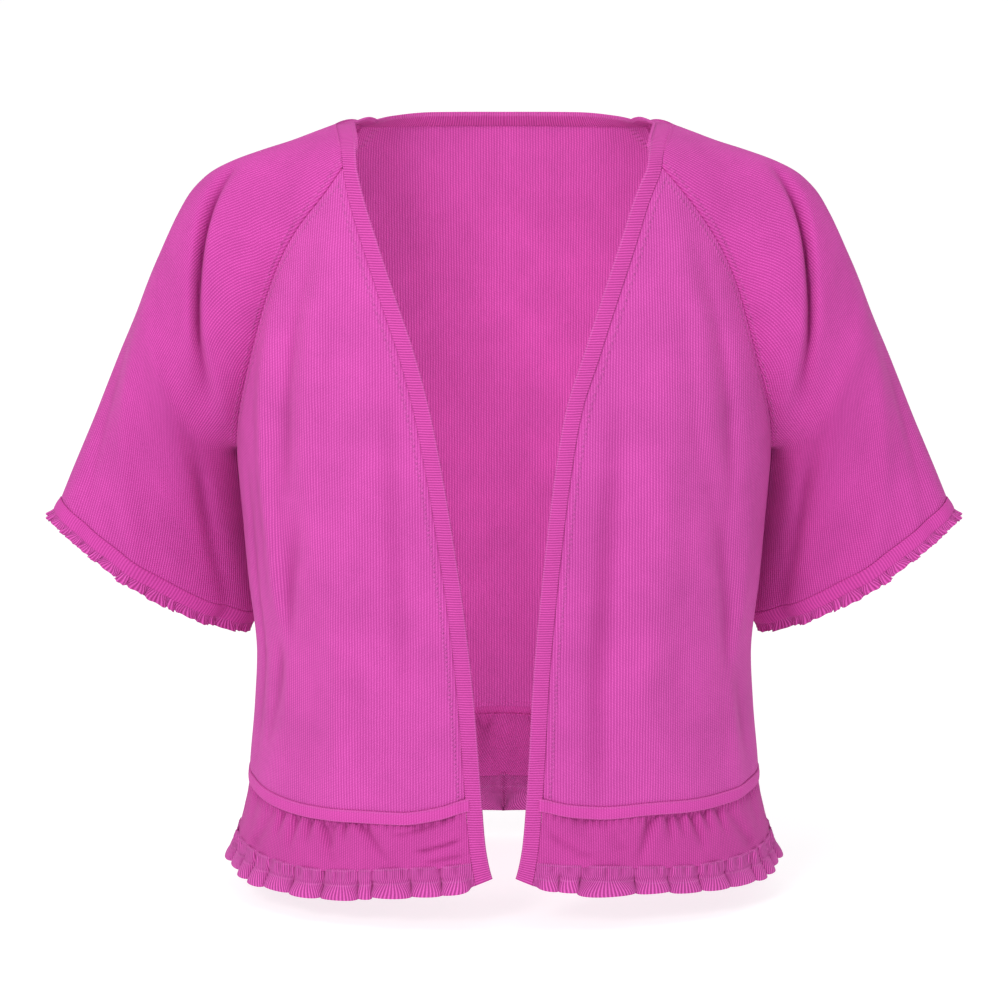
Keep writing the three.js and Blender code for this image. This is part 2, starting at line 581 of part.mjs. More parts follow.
// Triangles of a grid of points, with equal points made one and flat slivers left out.
function facesOf(rows) {
  const points = [];
  const index = new Map();
  const place = (p) => {
    const key = keyOf(p);
    if (!index.has(key)) {
      index.set(key, points.length);
      points.push(p.clone());
    }
    return index.get(key);
  };
  const grid = rows.map((row) => row.map(place));
  const faces = [];
  for (let i = 0; i < grid.length - 1; i += 1) {
    for (let j = 0; j < grid[i].length - 1; j += 1) {
      const [a, b, c, d] = [grid[i][j], grid[i][j + 1], grid[i + 1][j + 1], grid[i + 1][j]];
      faces.push([a, b, c], [a, c, d]);
    }
  }
  return { points, faces: faces.filter(([a, b, c]) => a !== b && b !== c && c !== a) };
}

// Normals of several pieces that meet at seams: a point on a seam has one normal for all of them.
function sharedNormals(sheets) {
  const sums = new Map();
  for (const { points, faces } of sheets) {
    for (const [a, b, c] of faces) {
      const normal = new THREE.Triangle(points[a], points[b], points[c]).getNormal(new THREE.Vector3());
      const corners = [[a, b, c], [b, c, a], [c, a, b]];
      for (const [at, next, last] of corners) {
        const angle = points[next].clone().sub(points[at]).angleTo(points[last].clone().sub(points[at]));
        const key = keyOf(points[at]);
        if (!sums.has(key)) sums.set(key, new THREE.Vector3());
        sums.get(key).addScaledVector(normal, angle);
      }
    }
  }
  sums.forEach((sum) => sum.normalize());
  return sums;
}

// A sheet made a closed wall: its outside, its inside a wall's thickness below, and a rim along each free edge.
// Its edges are drawn in by half the seam gap.
function wall({ points, faces }, normals, thickness, proud) {
  const normal = points.map((p) => normals.get(keyOf(p)));
  const uses = new Map();
  for (const [a, b, c] of faces) {
    for (const [from, to] of [[a, b], [b, c], [c, a]]) uses.set(`${from} ${to}`, [from, to]);
  }
  const rim = [...uses.values()].filter(([from, to]) => !uses.has(`${to} ${from}`));
  const inward = new Map();
  for (const [from, to] of rim) {
    const along = points[to].clone().sub(points[from]).normalize();
    for (const at of [from, to]) {
      const into = normal[at].clone().cross(along).normalize();
      if (!inward.has(at)) inward.set(at, []);
      inward.get(at).push(into);
    }
  }
  const drawn = points.map((p, i) => {
    const ways = inward.get(i);
    if (!ways) return p.clone();
    const [a, b] = ways;
    return p.clone().addScaledVector(a.clone().add(b), SEAM_GAP / 2 / Math.max(0.5, 1 + a.dot(b)));
  });
  const outer = drawn.map((p, i) => p.clone().addScaledVector(normal[i], proud));
  const inner = drawn.map((p, i) => p.clone().addScaledVector(normal[i], proud - thickness));
  const count = points.length;
  const triangles = faces.map((face) => [...face]);
  faces.forEach(([a, b, c]) => triangles.push([a + count, c + count, b + count]));
  rim.forEach(([a, b]) => triangles.push([b, a, a + count], [b, a + count, b + count]));
  const geometry = new THREE.BufferGeometry();
  const positions = [...outer, ...inner].flatMap((p) => [p.x, p.y, p.z]);
  geometry.setAttribute('position', new THREE.Float32BufferAttribute(positions, 3));
  geometry.setIndex(triangles.flat());
  geometry.computeVertexNormals();
  return geometry;
}

// Cottons of the plain knit and of the ribs, as three.js material settings
const KNIT = { color: 0xd84fb0, roughness: 0.9, metalness: 0 };
const RIB = { color: 0xd04aa6, roughness: 0.92, metalness: 0 };
const GATHERED = { color: 0xcb43a1, roughness: 0.92, metalness: 0 };

const jacket = new THREE.Group();

// Adds pieces that meet at seams, each a row: name, grid of points, wall, how far it stands proud, cloth.
function sew(pieces) {
  const sheets = pieces.map(([, rows]) => facesOf(rows));
  const normals = sharedNormals(sheets);
  pieces.forEach(([name, , thickness, proud, cloth], i) => {
    const material = new THREE.MeshStandardMaterial(cloth);
    const mesh = new THREE.Mesh(wall(sheets[i], normals, thickness, proud), material);
    mesh.name = name;
    jacket.add(mesh);
  });
}

sew([
  ['back_panel', backPanel(), PANEL_WALL, 0, KNIT],
  ['waist_band_back', waistBand('back'), BAND_WALL, BAND_PROUD, RIB],
  ...SIDES.flatMap((side) => [
    [`front_panel_${side}`, frontPanel(side), PANEL_WALL, 0, KNIT],
    [`sleeve_${side}`, sleeve(side), PANEL_WALL, 0, KNIT],
    [`front_band_${side}`, frontBand(side), BAND_WALL, BAND_PROUD, RIB],
    [`waist_band_${side}`, waistBand(side), BAND_WALL, BAND_PROUD, RIB],
    [`cuff_band_${side}`, cuffBand(side), BAND_WALL, BAND_PROUD, RIB],
  ]),
]);
const SKIRT_PIECES = ['back', ...SIDES];
sew(SKIRT_PIECES.map((side) => [`peplum_${side}`, peplum(side), PANEL_WALL, 0, GATHERED]));
sew(SKIRT_PIECES.map((side) => [`ruffle_${side}`, ruffle(side), FRILL_WALL, 0, GATHERED]));
sew(SIDES.map((side) => [`cuff_frill_${side}`, cuffFrill(side), FRILL_WALL, 0, GATHERED]));

export default jacket;
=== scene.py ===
"""A cropped open-front knit jacket, filled out as if worn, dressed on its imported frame.

Each piece of cloth is a fine grid moved onto its form and given a thin wall. Lengths in the tables and the form
functions are millimetres in the frame's axes: +X right as seen from the front, +Y back, +Z up. Right and left are
as seen from the front. 0 degrees is the middle of the front, 90 the side and 180 the middle of the back.
"""

import bisect
import functools
import math

import bmesh
import bpy
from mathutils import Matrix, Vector


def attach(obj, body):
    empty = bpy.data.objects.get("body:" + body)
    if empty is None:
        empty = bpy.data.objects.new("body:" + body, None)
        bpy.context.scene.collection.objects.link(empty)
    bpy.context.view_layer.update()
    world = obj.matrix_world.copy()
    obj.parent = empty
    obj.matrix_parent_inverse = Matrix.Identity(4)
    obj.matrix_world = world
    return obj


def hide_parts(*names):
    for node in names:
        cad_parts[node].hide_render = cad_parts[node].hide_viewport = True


bl_info = {
    "name": "Knit Jacket",
    "version": (1, 0, 0),
    "blender": (4, 5, 0),
    "location": "View3D > Sidebar > Jacket",
    "description": "Builds a cropped knit jacket with raglan sleeves, rib bands, a peplum and ruffles",
    "category": "Object",
}

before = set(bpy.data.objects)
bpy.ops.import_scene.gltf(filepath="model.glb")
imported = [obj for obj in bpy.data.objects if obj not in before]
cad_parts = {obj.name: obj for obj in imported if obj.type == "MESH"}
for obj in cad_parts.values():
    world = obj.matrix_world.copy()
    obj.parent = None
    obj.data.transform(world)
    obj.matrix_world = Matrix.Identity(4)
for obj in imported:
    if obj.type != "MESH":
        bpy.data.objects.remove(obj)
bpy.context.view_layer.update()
MM = 0.001

# Sizes shared with the solids
FRONT_BAND = 12.0
WAIST_BAND = 9.5
CUFF_BAND = 10.5
CUFF_FRILL = 5.5
BAND_PROUD = 0.4
UNDERARM_Z = -245.0
WAIST_Z = -487.0
NECK_JOIN_Z = -31.0
NAPE_Z = -6.0
NECK_DIP = 2.5
TORSO_SQUARENESS = 2.3
SIDES = ("right", "left")


# Curves read from tables

class Table:
    """A table with named columns, read along one of them on a smooth curve that never overshoots."""

    def __init__(self, names, rows):
        self.names = names
        self.rows = [dict(zip(names, row)) for row in rows]
        self.curves = {}

    def curve(self, name, by):
        """Heights and slopes of one column along another, kept after the first call."""
        if (name, by) in self.curves:
            return self.curves[name, by]
        points = sorted((row[by], row[name]) for row in self.rows)
        xs = [x for x, _ in points]
        ys = [y for _, y in points]
        steps = [(ys[i + 1] - ys[i]) / (xs[i + 1] - xs[i]) for i in range(len(xs) - 1)]
        slopes = [steps[0]]
        for before, after in zip(steps, steps[1:]):
            slopes.append(0.0 if before * after <= 0 else 2 * before * after / (before + after))
        slopes.append(steps[-1])
        self.curves[name, by] = (xs, ys, slopes)
        return self.curves[name, by]

    def value(self, name, by, at):
        """The column `name` where the column `by` is `at`."""
        xs, ys, slopes = self.curve(name, by)
        i = min(max(bisect.bisect_right(xs, at) - 1, 0), len(xs) - 2)
        step = xs[i + 1] - xs[i]
        t = min(max((at - xs[i]) / step, 0.0), 1.0)
        return ((2 * t ** 3 - 3 * t ** 2 + 1) * ys[i] + (t ** 3 - 2 * t ** 2 + t) * step * slopes[i]
                + (3 * t ** 2 - 2 * t ** 3) * ys[i + 1] + (t ** 3 - t ** 2) * step * slopes[i + 1])


# Sections of the torso: half the width, and how far front and back lie from the middle
TORSO = Table(("z", "half_width", "front", "back"), [
    (0, 106, 60, 72),
    (-11, 122, 70, 79),
    (-31, 146, 84, 86),
    (-60, 163, 97, 95),
    (-100, 180, 110, 106),
    (-150, 194, 123, 114),
    (-200, 200, 134, 118),
    (-245, 199.5, 141, 118),
    (-290, 196, 143, 115),
    (-340, 192, 142, 112),
    (-400, 186, 140, 113),
    (-440, 188, 140, 115),
    (-484, 192, 142, 120),
    (-500, 193, 143, 123),
    (-520, 197, 145, 126),
    (-543, 203, 148, 130),
    (-565, 208, 152, 134),
])

# Distances from the middle of the opening's edge and of the raglan seams
FRONT_EDGE = {
    "right": Table(("z", "x"), [
        (-31, 104), (-50, 95), (-80, 84.5), (-120, 70.5), (-160, 57), (-200, 44), (-250, 35.5), (-300, 29.5),
        (-350, 24.5), (-400, 20.5), (-450, 18), (-484, 16), (-515, 13.5), (-535, 10.5), (-556, 5.5),
    ]),
    "left": Table(("z", "x"), [
        (-31, 107), (-50, 102), (-80, 92), (-120, 78), (-160, 64), (-200, 53), (-250, 43), (-300, 35),
        (-350, 28), (-400, 22.5), (-450, 18.5), (-484, 16), (-515, 13.5), (-535, 10.5), (-556, 5.5),
    ]),
}
FRONT_RAGLAN = {
    "right": Table(("z", "x"), [
        (-31, 120.5), (-43, 130), (-65, 145), (-83, 155), (-117, 170), (-148, 179), (-172, 185.5), (-191, 190.5),
        (-220, 196.5), (-245, 199.5),
    ]),
    "left": Table(("z", "x"), [
        (-31, 120), (-50, 132.5), (-74, 150), (-94, 161), (-112, 168.5), (-138, 177), (-171, 186), (-194, 191.5),
        (-220, 196.5), (-245, 199.5),
    ]),
}
BACK_RAGLAN = Table(("z", "x"), [
    (-6, 106), (-40, 128), (-80, 150), (-120, 167), (-160, 180), (-200, 190), (-225, 196), (-245, 199.5),
])

# Heights of the skirt's lines, along from the band's seam (0) by the side seam (1) to the middle of the back (2)
SKIRT_COLUMNS = ("along", "waist", "ruffle", "hem")
SKIRT = {
    "right": Table(SKIRT_COLUMNS, [
        (0, -482, -529, -545),
        (0.07, -487, -531, -549),
        (0.165, -489.5, -532.5, -553),
        (0.28, -488.5, -535, -552),
        (0.46, -490, -538, -556),
        (0.64, -489, -538, -558),
        (0.82, -487, -536.5, -556.5),
        (1, -487, -535, -554),
        (1.5, -476, -530, -554),
        (2, -466, -525, -556.5),
    ]),
    "left": Table(SKIRT_COLUMNS, [
        (0, -482, -529, -545),
        (0.07, -489, -532, -551),
        (0.165, -493.5, -534, -554),
        (0.28, -494, -537.5, -556.5),
        (0.46, -495, -540.5, -560),
        (0.64, -493, -539, -559),
        (0.82, -489, -536.5, -556),
        (1, -487, -535, -554),
        (1.5, -476, -530, -554),
        (2, -466, -525, -556.5),
    ]),
}
SAG_FROM = {"front": -380.0, "back": UNDERARM_Z}

# Sections of a sleeve, 0 at the cuff's seam, 7 at the underarm and 18 at the neck
UNDERARM_AT = 7.0
NECK_AT = 18.0
SLEEVE = Table(("at", "top_x", "top_z", "front_z", "back_z", "front_reach", "back_reach", "front_out",
                "front_x", "front_y", "front_up", "back_out", "back_x", "back_y", "back_up"), [
    (0, 332, -283, -377.5, -376.5, 64, 62, 62, 0.5, -0.87, -0.08, 50, 0.25, 0.97, 0),
    (1, 323.5, -262.5, -358.5, -358, 67, 64, 63, 0.5, -0.87, -0.07, 54, 0.28, 0.96, 0),
    (2, 314.5, -241.5, -339.5, -339, 70, 67, 65, 0.5, -0.87, -0.05, 58, 0.32, 0.95, 0),
    (3, 305.5, -220.5, -320, -320, 73, 70, 68, 0.5, -0.87, -0.03, 63, 0.36, 0.93, 0),
    (4, 296, -197, -302, -302, 76, 73, 71, 0.5, -0.87, -0.02, 68, 0.4, 0.92, 0),
    (5, 286.5, -173.5, -283, -283, 79, 77, 75, 0.5, -0.87, 0, 73, 0.45, 0.9, 0),
    (6, 277, -150, -264, -264, 80, 80, 79, 0.52, -0.86, -0.02, 78, 0.5, 0.87, -0.02),
    (7, 268, -128, -245, -245, 80, 80, 84, 0.55, -0.84, -0.05, 84, 0.55, 0.84, -0.05),
    (7.4, 265.5, -122, -240, -240, 78, 78, 64, 0.7, -0.71, -0.03, 64, 0.7, 0.71, -0.03),
    (8, 261.5, -113, -229, -229, 75, 76, 54, 0.7, -0.71, 0.03, 52, 0.7, 0.71, 0.03),
    (9, 255, -99, -211, -210, 70, 72, 48, 0.66, -0.74, 0.1, 46, 0.64, 0.75, 0.1),
    (10, 248, -84, -192, -188, 64, 66, 46, 0.7, -0.69, 0.18, 42, 0.66, 0.7, 0.18),
    (11, 240, -68, -173, -165, 58, 60, 42, 0.73, -0.6, 0.3, 38, 0.68, 0.62, 0.3),
    (12, 231, -53, -153, -142, 52, 54, 37, 0.75, -0.5, 0.42, 33, 0.7, 0.5, 0.44),
    (13, 218, -40, -133, -118, 46, 48, 33, 0.72, -0.36, 0.56, 30, 0.7, 0.36, 0.58),
    (14, 201, -31, -112, -92, 42, 42, 30, 0.64, -0.2, 0.7, 28, 0.63, 0.22, 0.71),
    (15, 179, -23, -90, -66, 37, 35, 27, 0.52, -0.05, 0.83, 24, 0.52, 0.1, 0.82),
    (16, 157, -16, -68, -42, 32, 28, 24, 0.36, 0.1, 0.93, 20, 0.4, 0, 0.85),
    (17, 139.5, -9.5, -48, -21, 26, 21, 20, 0.2, 0.25, 0.95, 15, 0.35, -0.15, 0.7),
    (18, 124, -4, -31, -6, 20, 16, 17, 0.05, 0.4, 0.9, 11, 0.3, -0.4, 0.4),
])
SLEEVE_UNDER = Table(("at", "x", "y"), [
    (0, 185, 42), (1, 187.5, 38), (2, 190.5, 33), (3, 193, 27), (4, 195.5, 20), (5, 197.5, 13), (6, 199, 6),
    (7, 199.5, 0),
])

# The way from the band's seam to its edge, from the front raglan seam (0) to the middle of the back (1)
NECK_LEAN = Table(("at", "x", "y", "z"), [
    (0, -0.85, -0.5, 0.05), (0.12, -0.95, -0.2, 0.08), (0.25, -0.97, 0, 0.12), (0.35, -0.96, -0.2, 0.05),
    (0.45, -0.85, -0.42, 0.2), (0.6, -0.5, -0.65, 0.52), (0.75, -0.2, -0.7, 0.66), (1, 0, -0.74, 0.67),
])
NECK_LEAN_BLEND = 0.14  # the share of the way over which the band turns from the front's lie to this table's

# Soft folds down the body, from a high to a low point; a ridge's depth is above 0
BODY_FOLD_COLUMNS = ("high_z", "high_angle", "low_z", "low_angle", "depth", "half_width")
BODY_FOLDS = {
    "right": Table(BODY_FOLD_COLUMNS, [
        (-170, 20, -520, 17, -5, 13),
        (-120, 34, -500, 31, 4, 15),
        (-80, 50, -330, 56, -3.5, 11),
        (-210, 41, -490, 74, -4, 14),
        (-260, 66, -520, 62, 3, 12),
        (-60, 44, -260, 45, 3, 13),
        (-200, 128, -540, 122, 4, 22),
        (-120, 148, -500, 150, -4, 24),
        (-60, 168, -420, 164, 3, 22),
    ]),
    "left": Table(BODY_FOLD_COLUMNS, [
        (-100, 60, -440, 57, 5, 10),
        (-90, 50, -270, 50, -3.5, 9),
        (-60, 42, -330, 44, 3.5, 12),
        (-260, 44, -480, 70, -4, 13),
        (-230, 70, -500, 76, -3, 9),
        (-330, 38, -520, 36, 3.5, 15),
        (-150, 22, -440, 20, -3.5, 14),
        (-200, 126, -540, 132, 4, 22),
        (-140, 150, -520, 146, -3.5, 24),
        (-60, 165, -420, 168, -3, 22),
    ]),
}

# Soft folds down a sleeve; a ring is 0 at the cuff, 1 at the underarm and 2 at the neck, and a turn 0 at the
# front seam, 1 on top and 2 at the back seam
SLEEVE_FOLD_COLUMNS = ("high_ring", "high_turn", "low_ring", "low_turn", "depth", "half_width")
SLEEVE_FOLDS = {
    "right": Table(SLEEVE_FOLD_COLUMNS, [
        (1.66, 0.86, 0.94, -0.02, -14, 12),
        (1.3, 0.26, 0.0, 0.16, -11, 15),
        (1.5, 0.95, 0.0, 0.5, 4, 18),
        (1.1, 0.95, 0.0, 0.78, -3.5, 16),
        (1.4, 1.4, 0.0, 1.5, -5, 20),
        (1.3, 1.7, 0.2, 1.75, 4, 16),
    ]),
    "left": Table(SLEEVE_FOLD_COLUMNS, [
        (1.66, 0.86, 0.94, -0.02, -14, 12),
        (1.3, 0.28, 0.0, 0.16, -11, 15),
        (1.5, 0.95, 0.0, 0.52, 4, 18),
        (1.1, 0.95, 0.0, 0.76, -3.5, 16),
        (1.4, 1.45, 0.0, 1.45, -5, 20),
        (1.3, 1.7, 0.2, 1.8, 4, 16),
    ]),
}

# Gathers under the waist band, each a trough: its place, its depth, half its width in degrees, how far down the
# peplum it reaches and how far along it leans on its way
GATHER_COLUMNS = ("along", "depth", "half_width", "reach", "lean")
GATHERS = {
    "right": Table(GATHER_COLUMNS, [
        (0.1, 1.5, 3, 0.7, 0.02),
        (0.305, 3, 1.6, 1, -0.06),
        (0.357, 2.8, 1.4, 0.6, 0),
        (0.394, 2.6, 1.4, 0.5, 0.01),
        (0.443, 3, 1.5, 0.8, 0.03),
        (0.493, 2.6, 1.4, 0.5, 0.02),
        (0.56, 2.6, 1.6, 0.6, 0.02),
        (0.8, 1.5, 4, 0.8, 0),
        (1.3, 2.6, 1.6, 0.7, 0.01),
        (1.37, 2.8, 1.5, 0.8, 0.02),
        (1.44, 2.6, 1.6, 0.6, 0),
        (1.51, 2.8, 1.5, 0.9, -0.02),
        (1.6, 2.2, 2, 0.7, 0),
        (1.86, 2.4, 1.6, 0.7, 0),
        (1.93, 2.8, 1.5, 0.9, 0.02),
    ]),
    "left": Table(GATHER_COLUMNS, [
        (0.12, 1.5, 3, 0.8, -0.02),
        (0.285, 2.6, 1.8, 0.9, -0.09),
        (0.335, 2.4, 1.4, 0.5, 0),
        (0.375, 2.8, 1.4, 0.6, 0),
        (0.415, 3, 1.5, 0.9, -0.05),
        (0.465, 2.6, 1.4, 0.6, 0),
        (0.526, 2.8, 1.5, 0.8, 0.01),
        (0.596, 2.6, 1.5, 0.6, 0.01),
        (0.8, 1.5, 4, 0.8, 0),
        (1.3, 2.6, 1.6, 0.7, 0.01),
        (1.38, 2.8, 1.5, 0.8, 0.02),
        (1.45, 2.6, 1.6, 0.6, 0),
        (1.53, 2.8, 1.5, 0.9, -0.02),
        (1.88, 2.4, 1.6, 0.7, 0),
        (1.965, 3, 1.3, 1, 0),
    ]),
}

# Short tucks across the peplum: from a place along it and down it to another, with depth and half width in
# millimetres
TUCK_COLUMNS = ("start", "start_down", "end", "end_down", "depth", "half_width")
TUCKS = {
    "right": Table(TUCK_COLUMNS, [
        (0.0, 0.35, 0.1, 0.75, 0.9, 4.5),
        (0.16, 0.15, 0.2, 0.6, 0.8, 4),
        (0.62, 0.2, 0.7, 0.8, 1.0, 5),
        (1.7, 0.1, 1.78, 0.8, 1.0, 5),
    ]),
    "left": Table(TUCK_COLUMNS, [
        (0.0, 0.5, 0.1, 0.62, 0.9, 3.5),
        (0.0, 0.8, 0.08, 0.85, 0.7, 3.5),
        (0.05, 0.1, 0.16, 0.25, 0.7, 3.5),
        (0.66, 0.2, 0.72, 0.8, 1.0, 5),
        (1.72, 0.1, 1.78, 0.8, 1.0, 5),
    ]),
}

# Where the ruffle folds in between two lobes, along the skirt
VALLEYS = {
    "right": (0, 0.054, 0.1, 0.242, 0.338, 0.44, 0.546, 0.681, 0.75, 0.826, 0.91, 1,
              1.07, 1.15, 1.25, 1.33, 1.43, 1.52, 1.6, 1.7, 1.79, 1.88, 2),
    "left": (0, 0.072, 0.143, 0.244, 0.282, 0.39, 0.498, 0.613, 0.7, 0.777, 0.88, 1,
             1.08, 1.16, 1.24, 1.34, 1.42, 1.51, 1.61, 1.69, 1.8, 1.9, 2),
}


# Form of the jacket

def mix(a, b, t):
    return a + (b - a) * t


def ease(t):
    t = min(max(t, 0.0), 1.0)
    return t * t * (3 - 2 * t)


def sign_of(side):
    return 1 if side == "right" else -1


def fold_height(down, off, depth, half_width):
    """A long soft fold's height: `down` is 0 at its top and 1 at its foot, `off` the distance from its line."""
    if down <= 0 or down >= 1 or abs(off) > 3 * half_width:
        return 0.0
    return depth * math.sin(math.pi * down) ** 0.8 * math.exp(-(off / half_width) ** 2)


@functools.lru_cache(maxsize=None)
def girth_at(z):
    """Half the torso's width, and how far its front and back lie from the middle."""
    return [TORSO.value(name, "z", z) for name in ("half_width", "front", "back")]


def torso_outline(angle, z):
    """A point of the torso without its folds, on the right."""
    width, front, back = girth_at(z)
    turn = math.radians(angle)
    power = 2 / TORSO_SQUARENESS
    depth = -front if angle < 90 else back
    return Vector((width * max(math.sin(turn), 0.0) ** power, depth * abs(math.cos(turn)) ** power, z))


def torso(side, angle, z, outward=0.0):
    """A point of the torso's outside at an angle and a height, moved off it by `outward`."""
    width, front, back = girth_at(z)
    depth = front if angle < 90 else back
    turn = math.radians(angle)
    power = 2 / TORSO_SQUARENESS
    s = max(math.sin(turn), 0.0)
    c = abs(math.cos(turn))
    way = -1 if angle < 90 else 1
    normal = Vector((s ** (2 - power) / width, way * c ** (2 - power) / depth, 0)).normalized()
    reach = (width + depth) / 2
    fold = 0.0
    for row in BODY_FOLDS[side].rows:
        down = (row["high_z"] - z) / (row["high_z"] - row["low_z"])
        off = math.radians(angle - mix(row["high_angle"], row["low_angle"], down)) * reach
        fold += fold_height(down, off, row["depth"], row["half_width"])
    out = outward + fold
    x = width * s ** power + out * normal.x
    y = way * depth * c ** power + out * normal.y
    return Vector((sign_of(side) * x, y, z))


def angle_at(x, z):
    share = min(1.0, x / TORSO.value("half_width", "z", z))
    return math.degrees(math.asin(share ** (TORSO_SQUARENESS / 2)))


def edge_angle(side, z):
    return angle_at(FRONT_EDGE[side].value("x", "z", z), z)


def band_seam_angle(side, z):
    """The angle of the seam that lies a band's width from the opening's edge."""
    return seam_angle_at(side, round(4 * z) / 4)


@functools.lru_cache(maxsize=None)
def seam_angle_at(side, z):
    edge = torso(side, edge_angle(side, z), z)
    slope = (FRONT_EDGE[side].value("x", "z", z - 5) - FRONT_EDGE[side].value("x", "z", z + 5)) / 10
    width = FRONT_BAND * math.hypot(1, slope)
    low, high = edge_angle(side, z), 90.0
    for _ in range(16):
        middle = (low + high) / 2
        if (torso(side, middle, z) - edge).length < width:
            low = middle
        else:
            high = middle
    return (low + high) / 2


JOIN_BLEND = 60.0
JOIN_PULL = {
    side: band_seam_angle(side, NECK_JOIN_Z) - angle_at(FRONT_RAGLAN[side].value("x", "z", NECK_JOIN_Z), NECK_JOIN_Z)
    for side in SIDES
}


def front_raglan_angle(side, z):
    if z <= UNDERARM_Z:
        return 90.0
    plain = angle_at(FRONT_RAGLAN[side].value("x", "z", z), z)
    return plain + JOIN_PULL[side] * max(0.0, 1 - (NECK_JOIN_Z - z) / JOIN_BLEND)


def back_raglan_angle(z):
    if z <= UNDERARM_Z:
        return 90.0
    return 180 - angle_at(BACK_RAGLAN.value("x", "z", z), z)


def sag(side, along, z):
    """How far a row lies off its height at the side, at a place along it."""
    start = SAG_FROM["front" if along <= 1 else "back"]
    return (SKIRT[side].value("waist", "along", along) - WAIST_Z) * ease((start - z) / (start - WAIST_Z))


def row_angle(start, end, share):
    """A place's angle on a row whose far end is drawn in from the side. Columns near the middle stay upright."""
    whole, drawn = abs(90 - start), abs(90 - end)
    power = min(max(0.6 * whole / drawn, 1.0), 3.0) if drawn else 3.0
    taken = drawn * (share if share < 0 else share ** power)
    return start + math.copysign(1, 90 - start) * (whole * share - taken)


def bezier(points, t):
    a, b, c, d = points
    s = 1 - t
    return a * s ** 3 + b * (3 * s * s * t) + c * (3 * s * t * t) + d * t ** 3


def sleeve_section(side, at, beyond=0.0):
    """The front and back halves of a sleeve's section, each a Bezier curve from its top."""
    read = lambda name: SLEEVE.value(name, "at", at)
    sign = sign_of(side)
    under = Vector((SLEEVE_UNDER.value("x", "at", at), SLEEVE_UNDER.value("y", "at", at), 0))
    axis = Vector((read("top_x") - under.x, read("top_z") - read("front_z"))).normalized()
    shift = Vector((sign * axis.y * beyond, 0, -axis.x * beyond))
    top = Vector((sign * read("top_x"), 0, read("top_z"))) + shift
    halves = []
    for half, towards in (("front", -1), ("back", 1)):
        seam_z = read(f"{half}_z")
        if at < UNDERARM_AT:
            end = Vector((sign * under.x, under.y, read("front_z")))
        elif half == "front":
            end = torso(side, front_raglan_angle(side, seam_z), seam_z)
        else:
            end = torso(side, back_raglan_angle(seam_z), seam_z)
        end = end + shift
        way = Vector((sign * read(f"{half}_x"), read(f"{half}_y"), read(f"{half}_up"))).normalized()
        level = Vector((0, towards * read(f"{half}_reach"), 0))
        halves.append((top, top + level, end + way * read(f"{half}_out"), end))
    return halves


def sleeve_point(side, halves, turn, ring, lift=0.0):
    """A point round a section: 0 at the front seam, 1 on top and 2 at the back seam."""
    front, back = halves
    middle = (front[0] + front[3]) / 2
    point = bezier(front, 1 - turn) if turn < 1 else bezier(back, turn - 1)
    away = Vector((point.x - middle.x, point.y, point.z - middle.z)).normalized()
    girth = 2.6 * ((front[0] - front[3]).length + abs(front[1].y))
    fold = 0.0
    for row in SLEEVE_FOLDS[side].rows:
        down = (row["high_ring"] - ring) / (row["high_ring"] - row["low_ring"])
        reach = min(down, 0.5) if row["low_ring"] <= 0 else down
        off = (turn - mix(row["high_turn"], row["low_turn"], down)) * girth / 2
        fold += fold_height(reach, off, row["depth"], row["half_width"])
    fade = max(math.sin(math.pi * turn / 2), 0.0) ** 0.5
    return point + away * (fold * fade + lift)


def ring_of(at):
    if at < UNDERARM_AT:
        return at / UNDERARM_AT
    return 1 + (at - UNDERARM_AT) / (NECK_AT - UNDERARM_AT)


def skirt_line(name):
    return lambda side, along: SKIRT[side].value(name, "along", along)


def waist_foot(side, along):
    return skirt_line("waist")(side, along) - WAIST_BAND


def skirt_angle(side, z, along):
    return 90 * along if along >= 1 else mix(band_seam_angle(side, z), 90, along)


def back_place(u):
    """The side and the place along the skirt of a share of the whole back, from right to left."""
    return ("right", 1 + 2 * u) if u < 0.5 else ("left", 3 - 2 * u)


# Settings that a user would change

class JacketSettings(bpy.types.PropertyGroup):
    """Sizes and colours of the jacket."""
    panel_wall: bpy.props.FloatProperty(
        name="Panel wall", description="Thickness of the knitted panels", default=0.0016, min=0.0005, unit="LENGTH")
    band_wall: bpy.props.FloatProperty(
        name="Band wall", description="Thickness of the rib bands", default=0.0022, min=0.0005, unit="LENGTH")
    frill_wall: bpy.props.FloatProperty(
        name="Frill wall", description="Thickness of the ruffle and frills", default=0.0013, min=0.0004, unit="LENGTH")
    wale_scale: bpy.props.FloatProperty(
        name="Wale scale", description="How far apart the ribs of the knit lie, against the tables", default=1.0,
        min=0.3, max=4.0, subtype="FACTOR")
    lobe_height: bpy.props.FloatProperty(
        name="Lobe height", description="How far the ruffle's lobes swell", default=0.0115, min=0.0, unit="LENGTH")
    # Painted highlight: the lighter colour towards which the stitched ridges, the narrowing marks and the fuzz are
    # mixed
    stitch_highlight_colour: bpy.props.FloatVectorProperty(
        name="Stitch highlight", description="Colour of the lit stitches on ridges and marks", subtype="COLOR", size=3, min=0,
        max=1, default=(0.814, 0.246, 0.624))


def settings():
    return bpy.context.scene.knit_jacket


# Materials

def linear(hex_colour):
    """A linear colour from an sRGB hex value."""
    channels = [int(hex_colour[i:i + 2], 16) / 255 for i in (1, 3, 5)]
    return [c / 12.92 if c <= 0.04045 else ((c + 0.055) / 1.055) ** 2.4 for c in channels] + [1.0]


def add_node(tree, kind, values=None, links=None, **attributes):
    """Adds a shader node, sets its attributes and inputs, and links its inputs from (node, output) pairs."""
    node = tree.nodes.new(kind)
    for name, value in attributes.items():
        setattr(node, name, value)
    # A mix node has a hidden input of the same name for each kind of data, so only the shown ones count.
    shown = {socket.name: socket for socket in node.inputs if socket.enabled}
    for name, value in (values or {}).items():
        shown[name].default_value = value
    for name, (source, output) in (links or {}).items():
        tree.links.new(source.outputs[output], shown[name])
    return node
